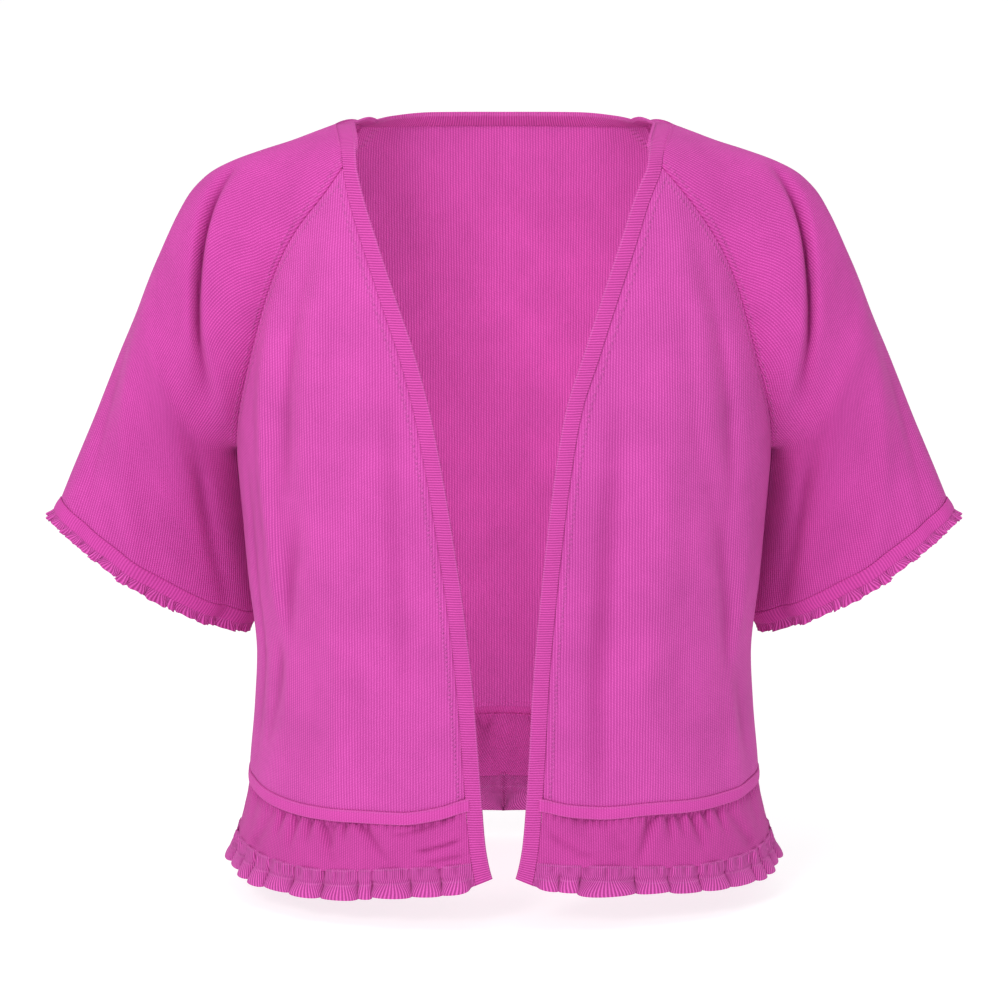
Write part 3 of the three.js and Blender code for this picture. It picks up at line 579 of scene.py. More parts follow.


# Each cloth: its face colour, the colours of the painted shadow in the grooves between its ribs and of the painted
# shade in its creases, the spacing and relief of its ribs, the part of the UV map that they cross (0 across the
# piece, 1 along it), the strength of its patches, the distances from a seam of two stitched ridges (below 0 where
# there is none), and that of the slanted marks where the knitting was narrowed
CLOTHS = Table(("name", "face", "groove_shade", "crease_shade", "spacing", "relief", "axis", "patchy", "ridge", "second_ridge",
                "marks"), [
    ("plain_cotton_knit", "#DA58B5", "#AA2F87", "#8C1C68", 2.1, 0.42, 0, 0.8, -1, -1, 5.2),
    ("sleeve_cotton_knit", "#D851B1", "#A62981", "#8C1C68", 2.1, 0.42, 0, 0.8, -1, -1, 4.6),
    ("band_cotton_rib", "#D851B0", "#9E2277", "#7E1A5D", 1.9, 0.45, 1, 0.4, 11.3, -1, -1),
    ("cuff_cotton_rib", "#D048A7", "#AC2E87", "#7E1A5D", 1.9, 0.2, 0, 0.4, -1, -1, -1),
    ("waist_cotton_knit", "#D650AF", "#B5338C", "#7E1A5D", 1.9, 0.2, 0, 0.4, 0.8, 8.9, -1),
    ("gathered_cotton_knit", "#D34DAA", "#A0287B", "#7A1759", 2.1, 0.42, 0, 0.8, -1, -1, -1),
    ("ruffle_cotton_rib", "#E35FBD", "#8E1C6B", "#7A1759", 2.0, 0.6, 0, 0.5, 1.3, 11.2, -1),
    ("frill_cotton_rib", "#DD58B7", "#962272", "#5A1043", 2.0, 0.5, 0, 0.5, -1, -1, -1),
])
# The real wales and courses are about 1.6 mm and 1.2 mm apart, which is too fine to show, so they are drawn coarser.
COURSE_SPACING = 1.9


def add_math(tree, operation, first, second=0.0, third=0.0):
    """A maths node; each value is a number or a (node, output) pair."""
    node = tree.nodes.new("ShaderNodeMath")
    node.operation = operation
    for i, value in enumerate((first, second, third)):
        if isinstance(value, tuple):
            tree.links.new(value[0].outputs[value[1]], node.inputs[i])
        else:
            node.inputs[i].default_value = value
    return node, 0


def bump_line(tree, distance, middle, half_width):
    """A soft ridge, 1 at a distance from the seam and 0 beyond half its width on either side."""
    off = add_math(tree, "SUBTRACT", distance, middle * MM)
    off = add_math(tree, "ABSOLUTE", off)
    share = add_math(tree, "DIVIDE", off, half_width * MM)
    flat = add_math(tree, "SUBTRACT", 1.0, share)
    return add_math(tree, "MAXIMUM", flat, 0.0)


def dashes(tree, run, spacing):
    """Dashes along a seam, from 0 between them to 1."""
    turn = add_math(tree, "MULTIPLY", run, 2 * math.pi / (spacing * MM))
    wave = add_math(tree, "SINE", turn)
    return add_math(tree, "MULTIPLY_ADD", wave, 0.5, 0.5)


def cloth_material(name):
    """Combed cotton knit: matt, with fine upright ribs, painted shadow between them and a faint fuzz of fibres."""
    row = next(row for row in CLOTHS.rows if row["name"] == name)
    if name in bpy.data.materials:
        return bpy.data.materials[name]
    material = bpy.data.materials.new(name)
    material.use_nodes = True
    tree = material.node_tree
    tree.nodes.clear()
    # Both UV maps are in metres.
    uv = add_node(tree, "ShaderNodeUVMap", uv_map="cloth")
    split = add_node(tree, "ShaderNodeSeparateXYZ", links={"Vector": (uv, 0)})
    seams = add_node(tree, "ShaderNodeUVMap", uv_map="seams")
    seams = add_node(tree, "ShaderNodeSeparateXYZ", links={"Vector": (seams, 0)})
    sway = add_node(tree, "ShaderNodeTexNoise", {"Scale": 60.0, "Detail": 2.0}, {"Vector": (uv, 0)})
    fuzz = add_node(tree, "ShaderNodeTexNoise", {"Scale": 1100.0, "Detail": 3.0, "Roughness": 0.6}, {"Vector": (uv, 0)})
    patches = add_node(tree, "ShaderNodeTexNoise", {"Scale": 22.0, "Detail": 4.0, "Roughness": 0.6}, {"Vector": (uv, 0)})
    swayed = add_math(tree, "MULTIPLY_ADD", (sway, 0), 0.001, (split, row["axis"]))
    turn = add_math(tree, "MULTIPLY", swayed, 2 * math.pi / (row["spacing"] * settings().wale_scale * MM))
    wave = add_math(tree, "SINE", turn)
    rib = add_math(tree, "MULTIPLY_ADD", wave, 0.5, 0.5)
    # Each wale is a column of stitches, a little lower where two of them meet.
    # The stitches of neighbouring wales lie half a course apart.
    courses = add_math(tree, "MULTIPLY_ADD", swayed, COURSE_SPACING / 2 / row["spacing"], (split, 1 - row["axis"]))
    stitches = dashes(tree, courses, COURSE_SPACING)
    broken = 0.12 if name.endswith("rib") else 0.5
    rib = add_math(tree, "MULTIPLY", rib, add_math(tree, "MULTIPLY_ADD", stitches, broken, 1 - broken))
    height = add_math(tree, "MULTIPLY", rib, row["relief"])
    height = add_math(tree, "MULTIPLY_ADD", (fuzz, 0), 0.11, height)
    shade = add_math(tree, "MULTIPLY_ADD", (fuzz, 0), 0.35, rib)
    # Painted highlight: the fuzz of fibres, the stitched ridges and the narrowing marks lighten the colour as if they
    # caught the light.
    light = (fuzz, 0)
    light = add_math(tree, "MULTIPLY", light, 0.06)
    for place in (row["ridge"], row["second_ridge"]):
        if place >= 0:
            line = bump_line(tree, (seams, 0), place, 0.75)
            dash = add_math(tree, "MULTIPLY_ADD", dashes(tree, (seams, 1), 1.9), 0.6, 0.4)
            line = add_math(tree, "MULTIPLY", line, dash)
            height = add_math(tree, "MULTIPLY_ADD", line, 0.34, height)
            light = add_math(tree, "MULTIPLY_ADD", line, 0.24, light)
    if row["marks"] >= 0:
        slanted = add_math(tree, "MULTIPLY_ADD", (seams, 0), 0.8, (seams, 1))
        line = bump_line(tree, (seams, 0), row["marks"], 2.0)
        marks = add_math(tree, "MULTIPLY", line, dashes(tree, slanted, 3.3))
        height = add_math(tree, "MULTIPLY_ADD", marks, 0.9, height)
        light = add_math(tree, "MULTIPLY_ADD", marks, 0.1, light)
    # Painted shadow: the colour runs from the darker one in the grooves between the ribs to the face colour on their
    # tops.
    mixed = add_node(tree, "ShaderNodeMapRange", {"From Min": 0.0, "From Max": 1.1}, {"Value": shade})
    colour = add_node(tree, "ShaderNodeMix", {"A": linear(row["groove_shade"]), "B": linear(row["face"])},
                      {"Factor": (mixed, 0)}, data_type="RGBA")
    # The painted highlight is mixed in here.
    colour = add_node(tree, "ShaderNodeMix", {"B": list(settings().stitch_highlight_colour) + [1.0]}, {"Factor": light, "A": (colour, 2)},
                      data_type="RGBA")
    uneven = add_node(tree, "ShaderNodeMapRange", {"From Min": 0.3, "From Max": 0.7, "To Min": 1 - 0.09 * row["patchy"],
                                                   "To Max": 1 + 0.09 * row["patchy"]}, {"Value": (patches, 0)})
    # Painted shade: the colour is drawn towards a darker one where the cloth lies deep in its creases.
    crease_shade = add_node(tree, "ShaderNodeAttribute", attribute_name="crease_shade_mask")
    colour = add_node(tree, "ShaderNodeMix", {"B": linear(row["crease_shade"])}, {"Factor": (crease_shade, 2), "A": (colour, 2)},
                      data_type="RGBA")
    tint = add_node(tree, "ShaderNodeHueSaturation", None, {"Color": (colour, 2), "Value": (uneven, 0)})
    bump = add_node(tree, "ShaderNodeBump", {"Strength": 1.0, "Distance": MM}, {"Height": height})
    shader = add_node(tree, "ShaderNodeBsdfPrincipled", {
        "Roughness": 0.88, "IOR": 1.5, "Specular IOR Level": 0.18, "Sheen Weight": 0.12, "Sheen Roughness": 0.45,
        "Sheen Tint": linear("#FFB5EA")}, {"Base Color": (tint, 0), "Normal": (bump, 0)})
    add_node(tree, "ShaderNodeOutputMaterial", None, {"Surface": (shader, 0)})
    return material


# Pieces of cloth

def finish_piece(piece, material, node=None):
    """Gives a piece its material and its body, and hides the solid that it stands for."""
    piece.data.materials.append(material)
    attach(piece, "root")
    if node:
        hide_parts(node)


# How the cloth ends at a seam, from its raw edge inwards: distance from the seam's line and height in millimetres
TURNED_IN = ((-0.5, -2.0), (0.0, -1.1), (0.4, -0.4), (1.0, 0.15), (1.9, 0.3), (3.0, 0.0))
TUCKED_UNDER = ((-1.8, -0.9), (0.0, -0.7), (0.5, -0.4), (1.2, 0.0))
SEWN_ON = ((0.0, -0.8), (0.3, -0.1), (0.8, 0.25), (1.5, 0.0))
FOLDED = ((0.0, -0.9), (0.25, -0.35), (0.7, -0.08), (1.3, 0.0))
FREE = ((0.0, 0.0),)


def shares_along(count, length, start, end):
    """Shares along a line of the cloth, each with its height, for the ways that the line ends."""
    limit = 0.4 * length
    head = [(min(away, limit) / length, out) for away, out in start]
    tail = [(1 - min(away, limit) / length, out) for away, out in reversed(end)]
    inner = count + 1 - len(head) - len(tail)
    middle = [(mix(head[-1][0], tail[0][0], (i + 1) / (inner + 1)), 0.0) for i in range(inner)]
    return head + middle + tail


def far_from_seams(u, v):
    return 100.0, 0.0


# The mask of the painted shade in creases: the evening steps that it compares and the depth at which it is fullest
CREASE_SHADE_STEPS = (4, 16)
CREASE_SHADE_FULL = 2.4  # millimetres below the evened cloth at which a crease is darkest


def crease_shade_depths(mesh):
    """How deep each place lies in the creases, from 0 to 1, against the cloth evened out: the mask of painted shade."""
    mesh.normal_update()
    around = [[edge.other_vert(vertex).index for edge in vertex.link_edges] for vertex in mesh.verts]
    normals = [vertex.normal.copy() for vertex in mesh.verts]
    start = [vertex.co.copy() for vertex in mesh.verts]
    places = start
    depths = [0.0] * len(start)
    for step in range(1, CREASE_SHADE_STEPS[-1] + 1):
        places = [sum((places[i] for i in near), Vector()) / len(near) for near in around]
        if step in CREASE_SHADE_STEPS:
            for i, (here, was, normal) in enumerate(zip(places, start, normals)):
                depths[i] += max((here - was).dot(normal), 0.0) / (CREASE_SHADE_FULL * MM) / len(CREASE_SHADE_STEPS)
    return [min(depth, 1.0) if len(near) == 4 else 0.0 for depth, near in zip(depths, around)]


def cloth_grid(name, columns, rows, place, measure, flip, width, length, ends=(FREE, FREE, FREE, FREE),
               seam=far_from_seams):
    """A grid moved onto a form.

    `place` gives the point for shares u and v and a height, `measure` the place in the flat cloth, `seam` the
    distance from the nearest seam and the place along it, and `width` a row's width. `ends` says how the cloth
    ends at its low u, high u, low v and high v.
    """
    mesh = bmesh.new()
    bmesh.ops.create_grid(mesh, x_segments=columns, y_segments=rows, size=0.5)
    uv_layers = [mesh.loops.layers.uv.new(name) for name in ("cloth", "seams")]
    crease_shade_mask = mesh.verts.layers.float.new("crease_shade_mask")
    lines = []
    for v, rise in shares_along(rows, length, ends[2], ends[3]):
        across = shares_along(columns, max(width(v), 1.0), ends[0], ends[1])
        lines.append([(u, v, out + rise) for u, out in across])
    flat = {}
    for vertex in mesh.verts:
        u, v, out = lines[round((vertex.co.y + 0.5) * rows)][round((vertex.co.x + 0.5) * columns)]
        flat[vertex] = [[MM * distance for distance in layer(u, v)] for layer in (measure, seam)]
        vertex.co = place(u, v, out) * MM
    for face in mesh.faces:
        face.smooth = True
        for loop in face.loops:
            for layer, place_in_layer in zip(uv_layers, flat[loop.vert]):
                loop[layer].uv = place_in_layer
    if flip:
        bmesh.ops.reverse_faces(mesh, faces=mesh.faces[:])
    # Each place's share of the painted shade in creases
    for vertex, depth in zip(mesh.verts, crease_shade_depths(mesh)):
        vertex[crease_shade_mask] = depth
    data = bpy.data.meshes.new(f"{name}_cloth")
    mesh.to_mesh(data)
    mesh.free()
    piece = bpy.data.objects.new(f"{name}_cloth", data)
    bpy.context.scene.collection.objects.link(piece)
    return piece


def give_wall(piece, thickness):
    """Thickens a sheet inwards and rounds its edges."""
    wall = piece.modifiers.new("Wall", "SOLIDIFY")
    wall.thickness = thickness
    wall.offset = -1
    edge = piece.modifiers.new("Soft edge", "BEVEL")
    edge.width = thickness * 0.28
    edge.segments = 2
    edge.limit_method = "ANGLE"
    edge.angle_limit = math.radians(50)


ARC_STEP = 2  # degrees
ARC_RISE = 10.0  # millimetres of height


@functools.lru_cache(maxsize=None)
def arc_row(z):
    """Distances round the torso from the middle of the front, at steps of the angle."""
    distances = [0.0]
    last = torso_outline(0, z)
    for step in range(1, 180 // ARC_STEP + 1):
        here = torso_outline(step * ARC_STEP, z)
        distances.append(distances[-1] + (here - last).length)
        last = here
    return distances


def arc_at(angle, z):
    """Distance round the torso from the middle of the front, where the cloth's upright wales are counted."""
    place = min(max(angle / ARC_STEP, 0.0), 180 / ARC_STEP - 0.001)
    low = math.floor(z / ARC_RISE) * ARC_RISE
    runs = [mix(row[int(place)], row[int(place) + 1], place % 1) for row in (arc_row(low), arc_row(low + ARC_RISE))]
    return mix(runs[0], runs[1], (z - low) / ARC_RISE)


def slant(angle_of, z):
    """The length of a seam for each millimetre of its height."""
    across = arc_at(angle_of(z + 3), z + 3) - arc_at(angle_of(z - 3), z - 3)
    return math.hypot(1, across / 6)


def front_panel(side):
    top = NECK_JOIN_Z - 1.5

    def row(u, v):
        z = mix(WAIST_Z, top, v)
        start = band_seam_angle(side, z + sag(side, 0, z))
        return row_angle(start, front_raglan_angle(side, z), u), z + sag(side, u, z)

    def measure(u, v):
        angle, z = row(u, v)
        return arc_at(angle, z), z

    def seam(u, v):
        angle, z = row(u, v)
        edge, raglan = (lambda h: band_seam_angle(side, h)), (lambda h: front_raglan_angle(side, h))
        from_band = (arc_at(angle, z) - arc_at(edge(z), z)) / slant(edge, z)
        if z < UNDERARM_Z:
            return max(from_band, 0.0), 1.1 * z
        from_raglan = (arc_at(raglan(z), z) - arc_at(angle, z)) / slant(raglan, z)
        return max(min(from_band, from_raglan), 0.0), z * (1.1 if from_band < from_raglan else 1.25)

    place = lambda u, v, out: torso(side, *row(u, v), out)
    width = lambda v: abs(measure(1, v)[0] - measure(0, v)[0])
    return cloth_grid(f"front_{side}", 80, 150, place, measure, side == "left", width, top - WAIST_Z,
                      (TUCKED_UNDER, TURNED_IN, TUCKED_UNDER, FREE), seam)


def back_panel():
    def row(u, v):
        z = mix(WAIST_Z, NAPE_Z, v)
        side = "right" if u < 0.5 else "left"
        across = abs(2 * u - 1)
        dip = NECK_DIP * ease(1 + z / 80) * (1 - across * across)
        return side, row_angle(180, back_raglan_angle(z), across), z + sag(side, 2 - across, z) - dip

    def measure(u, v):
        side, angle, z = row(u, v)
        return sign_of(side) * (arc_at(180, z) - arc_at(angle, z)), z

    def seam(u, v):
        _, angle, z = row(u, v)
        if z < UNDERARM_Z:
            return far_from_seams(u, v)
        away = (arc_at(angle, z) - arc_at(back_raglan_angle(z), z)) / slant(back_raglan_angle, z)
        return max(away, 0.0), 1.25 * z

    place = lambda u, v, out: torso(*row(u, v), out)
    width = lambda v: 2 * abs(measure(0, v)[0])
    return cloth_grid("back", 140, 140, place, measure, False, width, NAPE_Z - WAIST_Z,
                      (TURNED_IN, TURNED_IN, TUCKED_UNDER, TUCKED_UNDER), seam)


UNDERARM_BLEND = 1.6
SLEEVE_TURNS = 90
SLEEVE_RINGS = 150
EVENING_STEPS = 45


def evened(rings):
    """The points of a sleeve drawn towards their neighbours, most near the underarm."""
    last = len(rings[0]) - 1
    weights = [0.8 * math.exp(-((NECK_AT * i / SLEEVE_RINGS - UNDERARM_AT - 0.3) / UNDERARM_BLEND) ** 2)
               for i in range(SLEEVE_RINGS + 1)]
    rings = [ring[:] for ring in rings]
    for _ in range(EVENING_STEPS):
        before = [ring[:] for ring in rings]
        for i in range(1, SLEEVE_RINGS):
            if weights[i] < 0.01:
                continue
            for j in range(1, last):
                around = (before[i - 1][j] + before[i + 1][j] + before[i][j - 1] + before[i][j + 1]) / 4
                rings[i][j] = before[i][j].lerp(around, weights[i])
    return rings


def sleeve_base(side):
    """Points of a sleeve on an even grid, evened out round the underarm, where the tube meets the seams."""
    rings = []
    for i in range(SLEEVE_RINGS + 1):
        at = NECK_AT * i / SLEEVE_RINGS
        halves = sleeve_section(side, at)
        rings.append([sleeve_point(side, halves, 2 * j / SLEEVE_TURNS, ring_of(at)) for j in range(SLEEVE_TURNS + 1)])
    # What the second evening takes off is given back, so that the sleeve keeps its girth.
    once = evened(rings)
    twice = evened(once)
    return [[2 * a - b for a, b in zip(*pair)] for pair in zip(once, twice)]


def sleeve(side):
    rings = sleeve_base(side)
    downs = [0.0]
    for below, above in zip(rings, rings[1:]):
        downs.append(downs[-1] + (above[SLEEVE_TURNS // 2] - below[SLEEVE_TURNS // 2]).length)
    arcs = []
    for ring in rings:
        arc = [0.0]
        for a, b in zip(ring, ring[1:]):
            arc.append(arc[-1] + (b - a).length)
        arcs.append([run - arc[SLEEVE_TURNS // 2] for run in arc])

    def cell(u, v):
        x = min(max(u, 0.0), 1.0) * SLEEVE_TURNS
        y = min(max(v, 0.0), 1.0) * SLEEVE_RINGS
        j, i = min(int(x), SLEEVE_TURNS - 1), min(int(y), SLEEVE_RINGS - 1)
        return i, j, x - j, y - i

    def ways(i, j):
        across = rings[i][j + 1] - rings[i][j] + rings[i + 1][j + 1] - rings[i + 1][j]
        along = rings[i + 1][j] + rings[i + 1][j + 1] - rings[i][j] - rings[i][j + 1]
        return across, along

    def own_normal(i, j):
        across, along = ways(i, j)
        return across.cross(along).normalized() * sign_of(side)

    def seam_normal(i, front):
        """The way out at a seam: the body's at the raglan seams, and halfway between its two sides below them."""
        at = NECK_AT * i / SLEEVE_RINGS
        if at < UNDERARM_AT:
            return (own_normal(i, 0) + own_normal(i, SLEEVE_TURNS - 1)).normalized()
        z = SLEEVE.value("front_z" if front else "back_z", "at", at)
        angle = front_raglan_angle(side, z) if front else back_raglan_angle(z)
        return (torso(side, angle, z, 1) - torso(side, angle, z)).normalized()

    seam_normals = {(i, front): seam_normal(i, front) for i in range(SLEEVE_RINGS) for front in (True, False)}

    def place(u, v, out):
        i, j, s, t = cell(u, v)
        low = rings[i][j].lerp(rings[i][j + 1], s)
        high = rings[i + 1][j].lerp(rings[i + 1][j + 1], s)
        across, along = ways(i, j)
        from_seam = min(u, 1 - u) * (arcs[i][-1] - arcs[i][0])
        normal = seam_normals[i, u < 0.5].lerp(own_normal(i, j), ease(from_seam / 3)).normalized()
        beyond = along.normalized() * (min(v, 0.0) + max(v - 1, 0.0)) * downs[-1]
        beyond += across.normalized() * (min(u, 0.0) + max(u - 1, 0.0)) * width(v)
        return low.lerp(high, t) + normal * out + beyond

    def seam(u, v):
        if v * NECK_AT < UNDERARM_AT + 0.3:
            return far_from_seams(u, v)
        i = cell(u, v)[0]
        across, along = ways(i, 0 if u < 0.5 else SLEEVE_TURNS - 1)
        slope = across.normalized().cross(along.normalized()).length
        return max(min(u, 1 - u), 0.0) * width(v) * slope, mix(downs[i], downs[i + 1], 0.5) * 1.2

    def measure(u, v):
        i, j, s, t = cell(u, v)
        low = mix(arcs[i][j], arcs[i][j + 1], s)
        high = mix(arcs[i + 1][j], arcs[i + 1][j + 1], s)
        return mix(low, high, t), mix(downs[i], downs[i + 1], t)

    def width(v):
        i = min(int(max(v, 0.0) * SLEEVE_RINGS), SLEEVE_RINGS)
        return arcs[i][-1] - arcs[i][0]

    return cloth_grid(f"sleeve_{side}", 120, 140, place, measure, side == "left", width, downs[-1],
                      (TURNED_IN, TURNED_IN, TUCKED_UNDER, TUCKED_UNDER), seam)


def neck_seam(side):
    """Points of the band's seam from the front raglan seam round to the middle of the back, with distances."""
    top = sleeve_section(side, NECK_AT)
    points = [sleeve_point(side, top, 2 * i / 60, 2.0) for i in range(61)]
    for i in range(1, 61):
        across = 1 - i / 60
        dip = NECK_DIP * (1 - across * across) * ease(1 + NAPE_Z / 80)
        angle = row_angle(180, back_raglan_angle(NAPE_Z), across)
        points.append(torso(side, angle, NAPE_Z + sag(side, 2 - across, NAPE_Z) - dip))
    runs = [0.0]
    for a, b in zip(points, points[1:]):
        runs.append(runs[-1] + (b - a).length)
    return points, runs


BAND_CROWN = 0.5
BAND_FOOT_RISE = 5.0  # how much higher the front edge's corner ends than its seam


def front_band(side):
    foot = skirt_line("hem")(side, 0)
    points, runs = neck_seam(side)
    rise = NECK_JOIN_Z - foot
    slant = 1.055  # the front edge's length for each millimetre of its height
    whole = rise * slant + runs[-1]
    join = torso(side, band_seam_angle(side, NECK_JOIN_Z), NECK_JOIN_Z)
    join_way = torso(side, edge_angle(side, NECK_JOIN_Z), NECK_JOIN_Z) - join
    join_outward = torso(side, band_seam_angle(side, NECK_JOIN_Z), NECK_JOIN_Z, 1) - join

    def band_point(across, run, out):
        """A point of the band: across it from its seam (0) to its edge (1), at a distance from the hem."""
        crown = BAND_PROUD + BAND_CROWN * math.sin(math.pi * across) + out
        if run <= rise * slant:
            z = foot + run / slant
            angle = mix(band_seam_angle(side, z), edge_angle(side, z), across)
            z += BAND_FOOT_RISE * across * max(0.0, 1 - run / 45) ** 2
            return torso(side, angle, z, crown)
        run = min(run - rise * slant, runs[-1])
        i = min(max(bisect.bisect_right(runs, run) - 1, 0), len(points) - 2)
        t = (run - runs[i]) / (runs[i + 1] - runs[i])
        seam = points[i].lerp(points[i + 1], t)
        way = Vector([NECK_LEAN.value(axis, "at", run / runs[-1]) for axis in "xyz"]).normalized() * FRONT_BAND
        way.x *= sign_of(side)
        tangent = points[i + 1] - points[i]
        outward = (tangent.cross(way) * -sign_of(side)).normalized()
        turned = ease(run / runs[-1] / NECK_LEAN_BLEND)
        return seam + join_way.lerp(way, turned) * across + join_outward.lerp(outward, turned) * crown

    place = lambda u, v, out: band_point(1 - u, v * whole, out)
    measure = lambda u, v: ((1 - u) * FRONT_BAND, v * whole)
    return cloth_grid(f"front_band_{side}", 14, 320, place, measure, side == "left", lambda v: FRONT_BAND, whole,
                      (FOLDED, SEWN_ON, FOLDED, FREE), lambda u, v: ((1 - u) * FRONT_BAND, v * whole))


def strip_grid(name, side, columns, rows, lines, swell, stretch=1.0, start=0.0, ends=(FREE, FREE, FREE, FREE)):
    """A strip of the skirt between two lines, over one front or the whole back.

    `swell` gives how far a place moves out, along the skirt and down, for its side, its place along and its share
    of the way down.
    """
    top, bottom = lines

    def row(u, v):
        where, along = back_place(u) if side == "back" else (side, mix(start, 1, u))
        return where, along, mix(bottom(where, along), top(where, along), v)

    def place(u, v, out):
        where, along, z = row(u, v)
        rise, shift, drop = swell(where, along, 1 - v)
        return torso(where, skirt_angle(where, z, along + shift), z - drop, rise + out)

    def run_of(u, v):
        where, along, z = row(u, v)
        run = arc_at(skirt_angle(where, z, along), z)
        return (2 * arc_at(180, z) - run if where == "left" and side == "back" else run) * stretch

    height = lambda where, along: top(where, along) - bottom(where, along)

    def measure(u, v):
        return run_of(u, v), row(u, v)[2]

    def seam(u, v):
        where, along, z = row(u, v)
        return (1 - v) * height(where, along), run_of(u, v)

    return cloth_grid(name, columns, rows, place, measure, side == "left", lambda v: 150.0, height("right", 0.5),
                      ends, seam)


def waist_band(side):
    start = 0.0 if side == "back" else -0.009

    def swell(where, along, down):
        over_band = 0.0 if side == "back" else 1.1 * ease((0.014 - along) / 0.02)
        return BAND_PROUD + 0.6 * math.sin(math.pi * down) + over_band, 0.0, 0.0
    return strip_grid(f"waist_band_{side}", side, 140 if side == "back" else 80, 12, (skirt_line("waist"), waist_foot),
                      swell, start=start, ends=(FOLDED, FREE, FOLDED, SEWN_ON))


def at_seams(along):
    off = min(along, 1 - along) if along < 1 else along - 1
    return ease(off / 0.04)


def gathered(side, along, down):
    """The peplum's depth behind the torso's form: its gathers, its creases and the tuck behind the waist band."""
    trough = 0.0
    for row in GATHERS[side].rows:
        share = down / row["reach"]
        off = (along - row["along"] - row["lean"] * share) * 90 / row["half_width"]
        if share < 1 and abs(off) < 3:
            trough += row["depth"] * (1 - share) * math.exp(-off * off)
    for row in TUCKS[side].rows:
        start, end = Vector((row["start"], row["start_down"])), Vector((row["end"], row["end_down"]))
        here = Vector((along, down)) - start
        share = min(max(here.dot(end - start) / (end - start).length_squared, 0.0), 1.0)
        off = here - (end - start) * share
        distance = math.hypot(off.x * 140, off.y * 40)
        trough += row["depth"] * math.exp(-(distance / row["half_width"]) ** 2)
    pucker = 0.8 * math.sin(along * 290 + 2.2 * math.sin(along * 41)) * (1 - ease(down * 3))
    # At its top the peplum stays close behind the waist band's wall.
    depth = min(2.3 * trough + 1.5 * (1 - ease(down * 4)), 2.0 + 16 * down)
    return -depth * at_seams(along) + pucker * 0.7, 0.0, 0.0


def peplum(side):
    top = lambda where, along: waist_foot(where, along) + 1.5
    foot = lambda where, along: SKIRT[where].value("ruffle", "along", along) - 1.0
    return strip_grid(f"peplum_{side}", side, 540 if side == "back" else 290, 26, (top, foot), gathered, 1.2)


# The ruffle: the height of its gathered head, and of the lobes at its head and at its hem
RUFFLE_HEAD = 11.0
HEAD_HEIGHT = 0.3


def lobe(share):
    return max(math.sin(math.pi * min(max(share, 0.0), 1.0)), 0.0) ** 0.6


def lobe_at(valleys, along):
    """The number of a ruffle's lobe at a place, the share of the way across it, and its width."""
    i = min(max(bisect.bisect_left(valleys, along), 1), len(valleys) - 1)
    width = valleys[i] - valleys[i - 1]
    return i, (along - valleys[i - 1]) / width, width


def ruffle_swell(side, along, down):
    """A ruffle's lobes, small gathers at its head and full lobes with tight valleys at its hem."""
    i, share, width = lobe_at(VALLEYS[side], along)
    tall = RUFFLE_HEAD / 22
    full = ease((down - tall * 0.6) / (1 - tall * 0.6))
    height = settings().lobe_height / MM * min(1.0, width / 0.08) * (0.85 + 0.25 * math.sin(i * 2.4))
    swell = (lobe(share) - 0.55) * height * mix(HEAD_HEIGHT, 1, full)
    head = math.exp(-((down - tall * 0.45) / (tall * 0.4)) ** 2)
    swell += head * (0.6 * math.sin(along * 230 + 3 * math.sin(along * 37)) + 0.7 * math.sin(along * 143))
    swell -= 0.6 * math.exp(-((down - tall) / 0.06) ** 2)
    shift = -0.2 * width * math.sin(2 * math.pi * share) * full
    drop = (2.0 * lobe(share) - 1.0 + 0.9 * math.sin(i * 1.7)) * full
    edge = at_seams(along)
    return (swell + 0.5 * full) * edge + 0.3 * (1 - down), shift * edge, drop * edge


def ruffle(side):
    top = lambda where, along: SKIRT[where].value("ruffle", "along", along) + 0.8
    return strip_grid(f"ruffle_{side}", side, 800 if side == "back" else 420, 24, (top, skirt_line("hem")),
                      ruffle_swell, 1.5, ends=(FREE, FREE, FREE, SEWN_ON))


CUFF_GIRTH = 390.0


def cuff_strip(name, side, start, width, columns, swell, stretch=1.0, ends=(FREE, FREE, FREE, FREE)):
    """A strip round a sleeve's end, from a distance beyond the cuff's seam."""
    rows = 12
    sections = [sleeve_section(side, 0.0, start + width * i / rows) for i in range(rows + 1)]

    def place(u, v, out):
        rise, shift, drop = swell(u, 1 - v)
        place_down = min(max((1 - v) * rows, 0.0), rows - 0.001)
        above, below = sections[int(place_down)], sections[int(place_down) + 1]
        turn = 2 * min(max(u + shift, 0.0), 1.0)
        points = [sleeve_point(side, halves, turn, 0.0, rise + out) for halves in (above, below)]
        way = (points[1] - points[0]).normalized()
        return points[0].lerp(points[1], place_down % 1) + way * drop

    measure = lambda u, v: (u * CUFF_GIRTH * stretch, v * width)
    seam = lambda u, v: ((1 - v) * width, u * CUFF_GIRTH)
    return cloth_grid(name, columns, rows, place, measure, side == "left", lambda v: CUFF_GIRTH, width, ends, seam)


def cuff_band(side):
    swell = lambda u, down: (BAND_PROUD + 0.5 * math.sin(math.pi * down), 0.0, 0.0)
    return cuff_strip(f"cuff_band_{side}", side, 0.0, CUFF_BAND, 150, swell, ends=(FREE, FREE, FOLDED, SEWN_ON))


FRILL_LOBES = 36
FRILL_VALLEYS = [(i + 0.3 * math.sin(2.4 * i) * (0 < i < FRILL_LOBES)) / FRILL_LOBES for i in range(FRILL_LOBES + 1)]


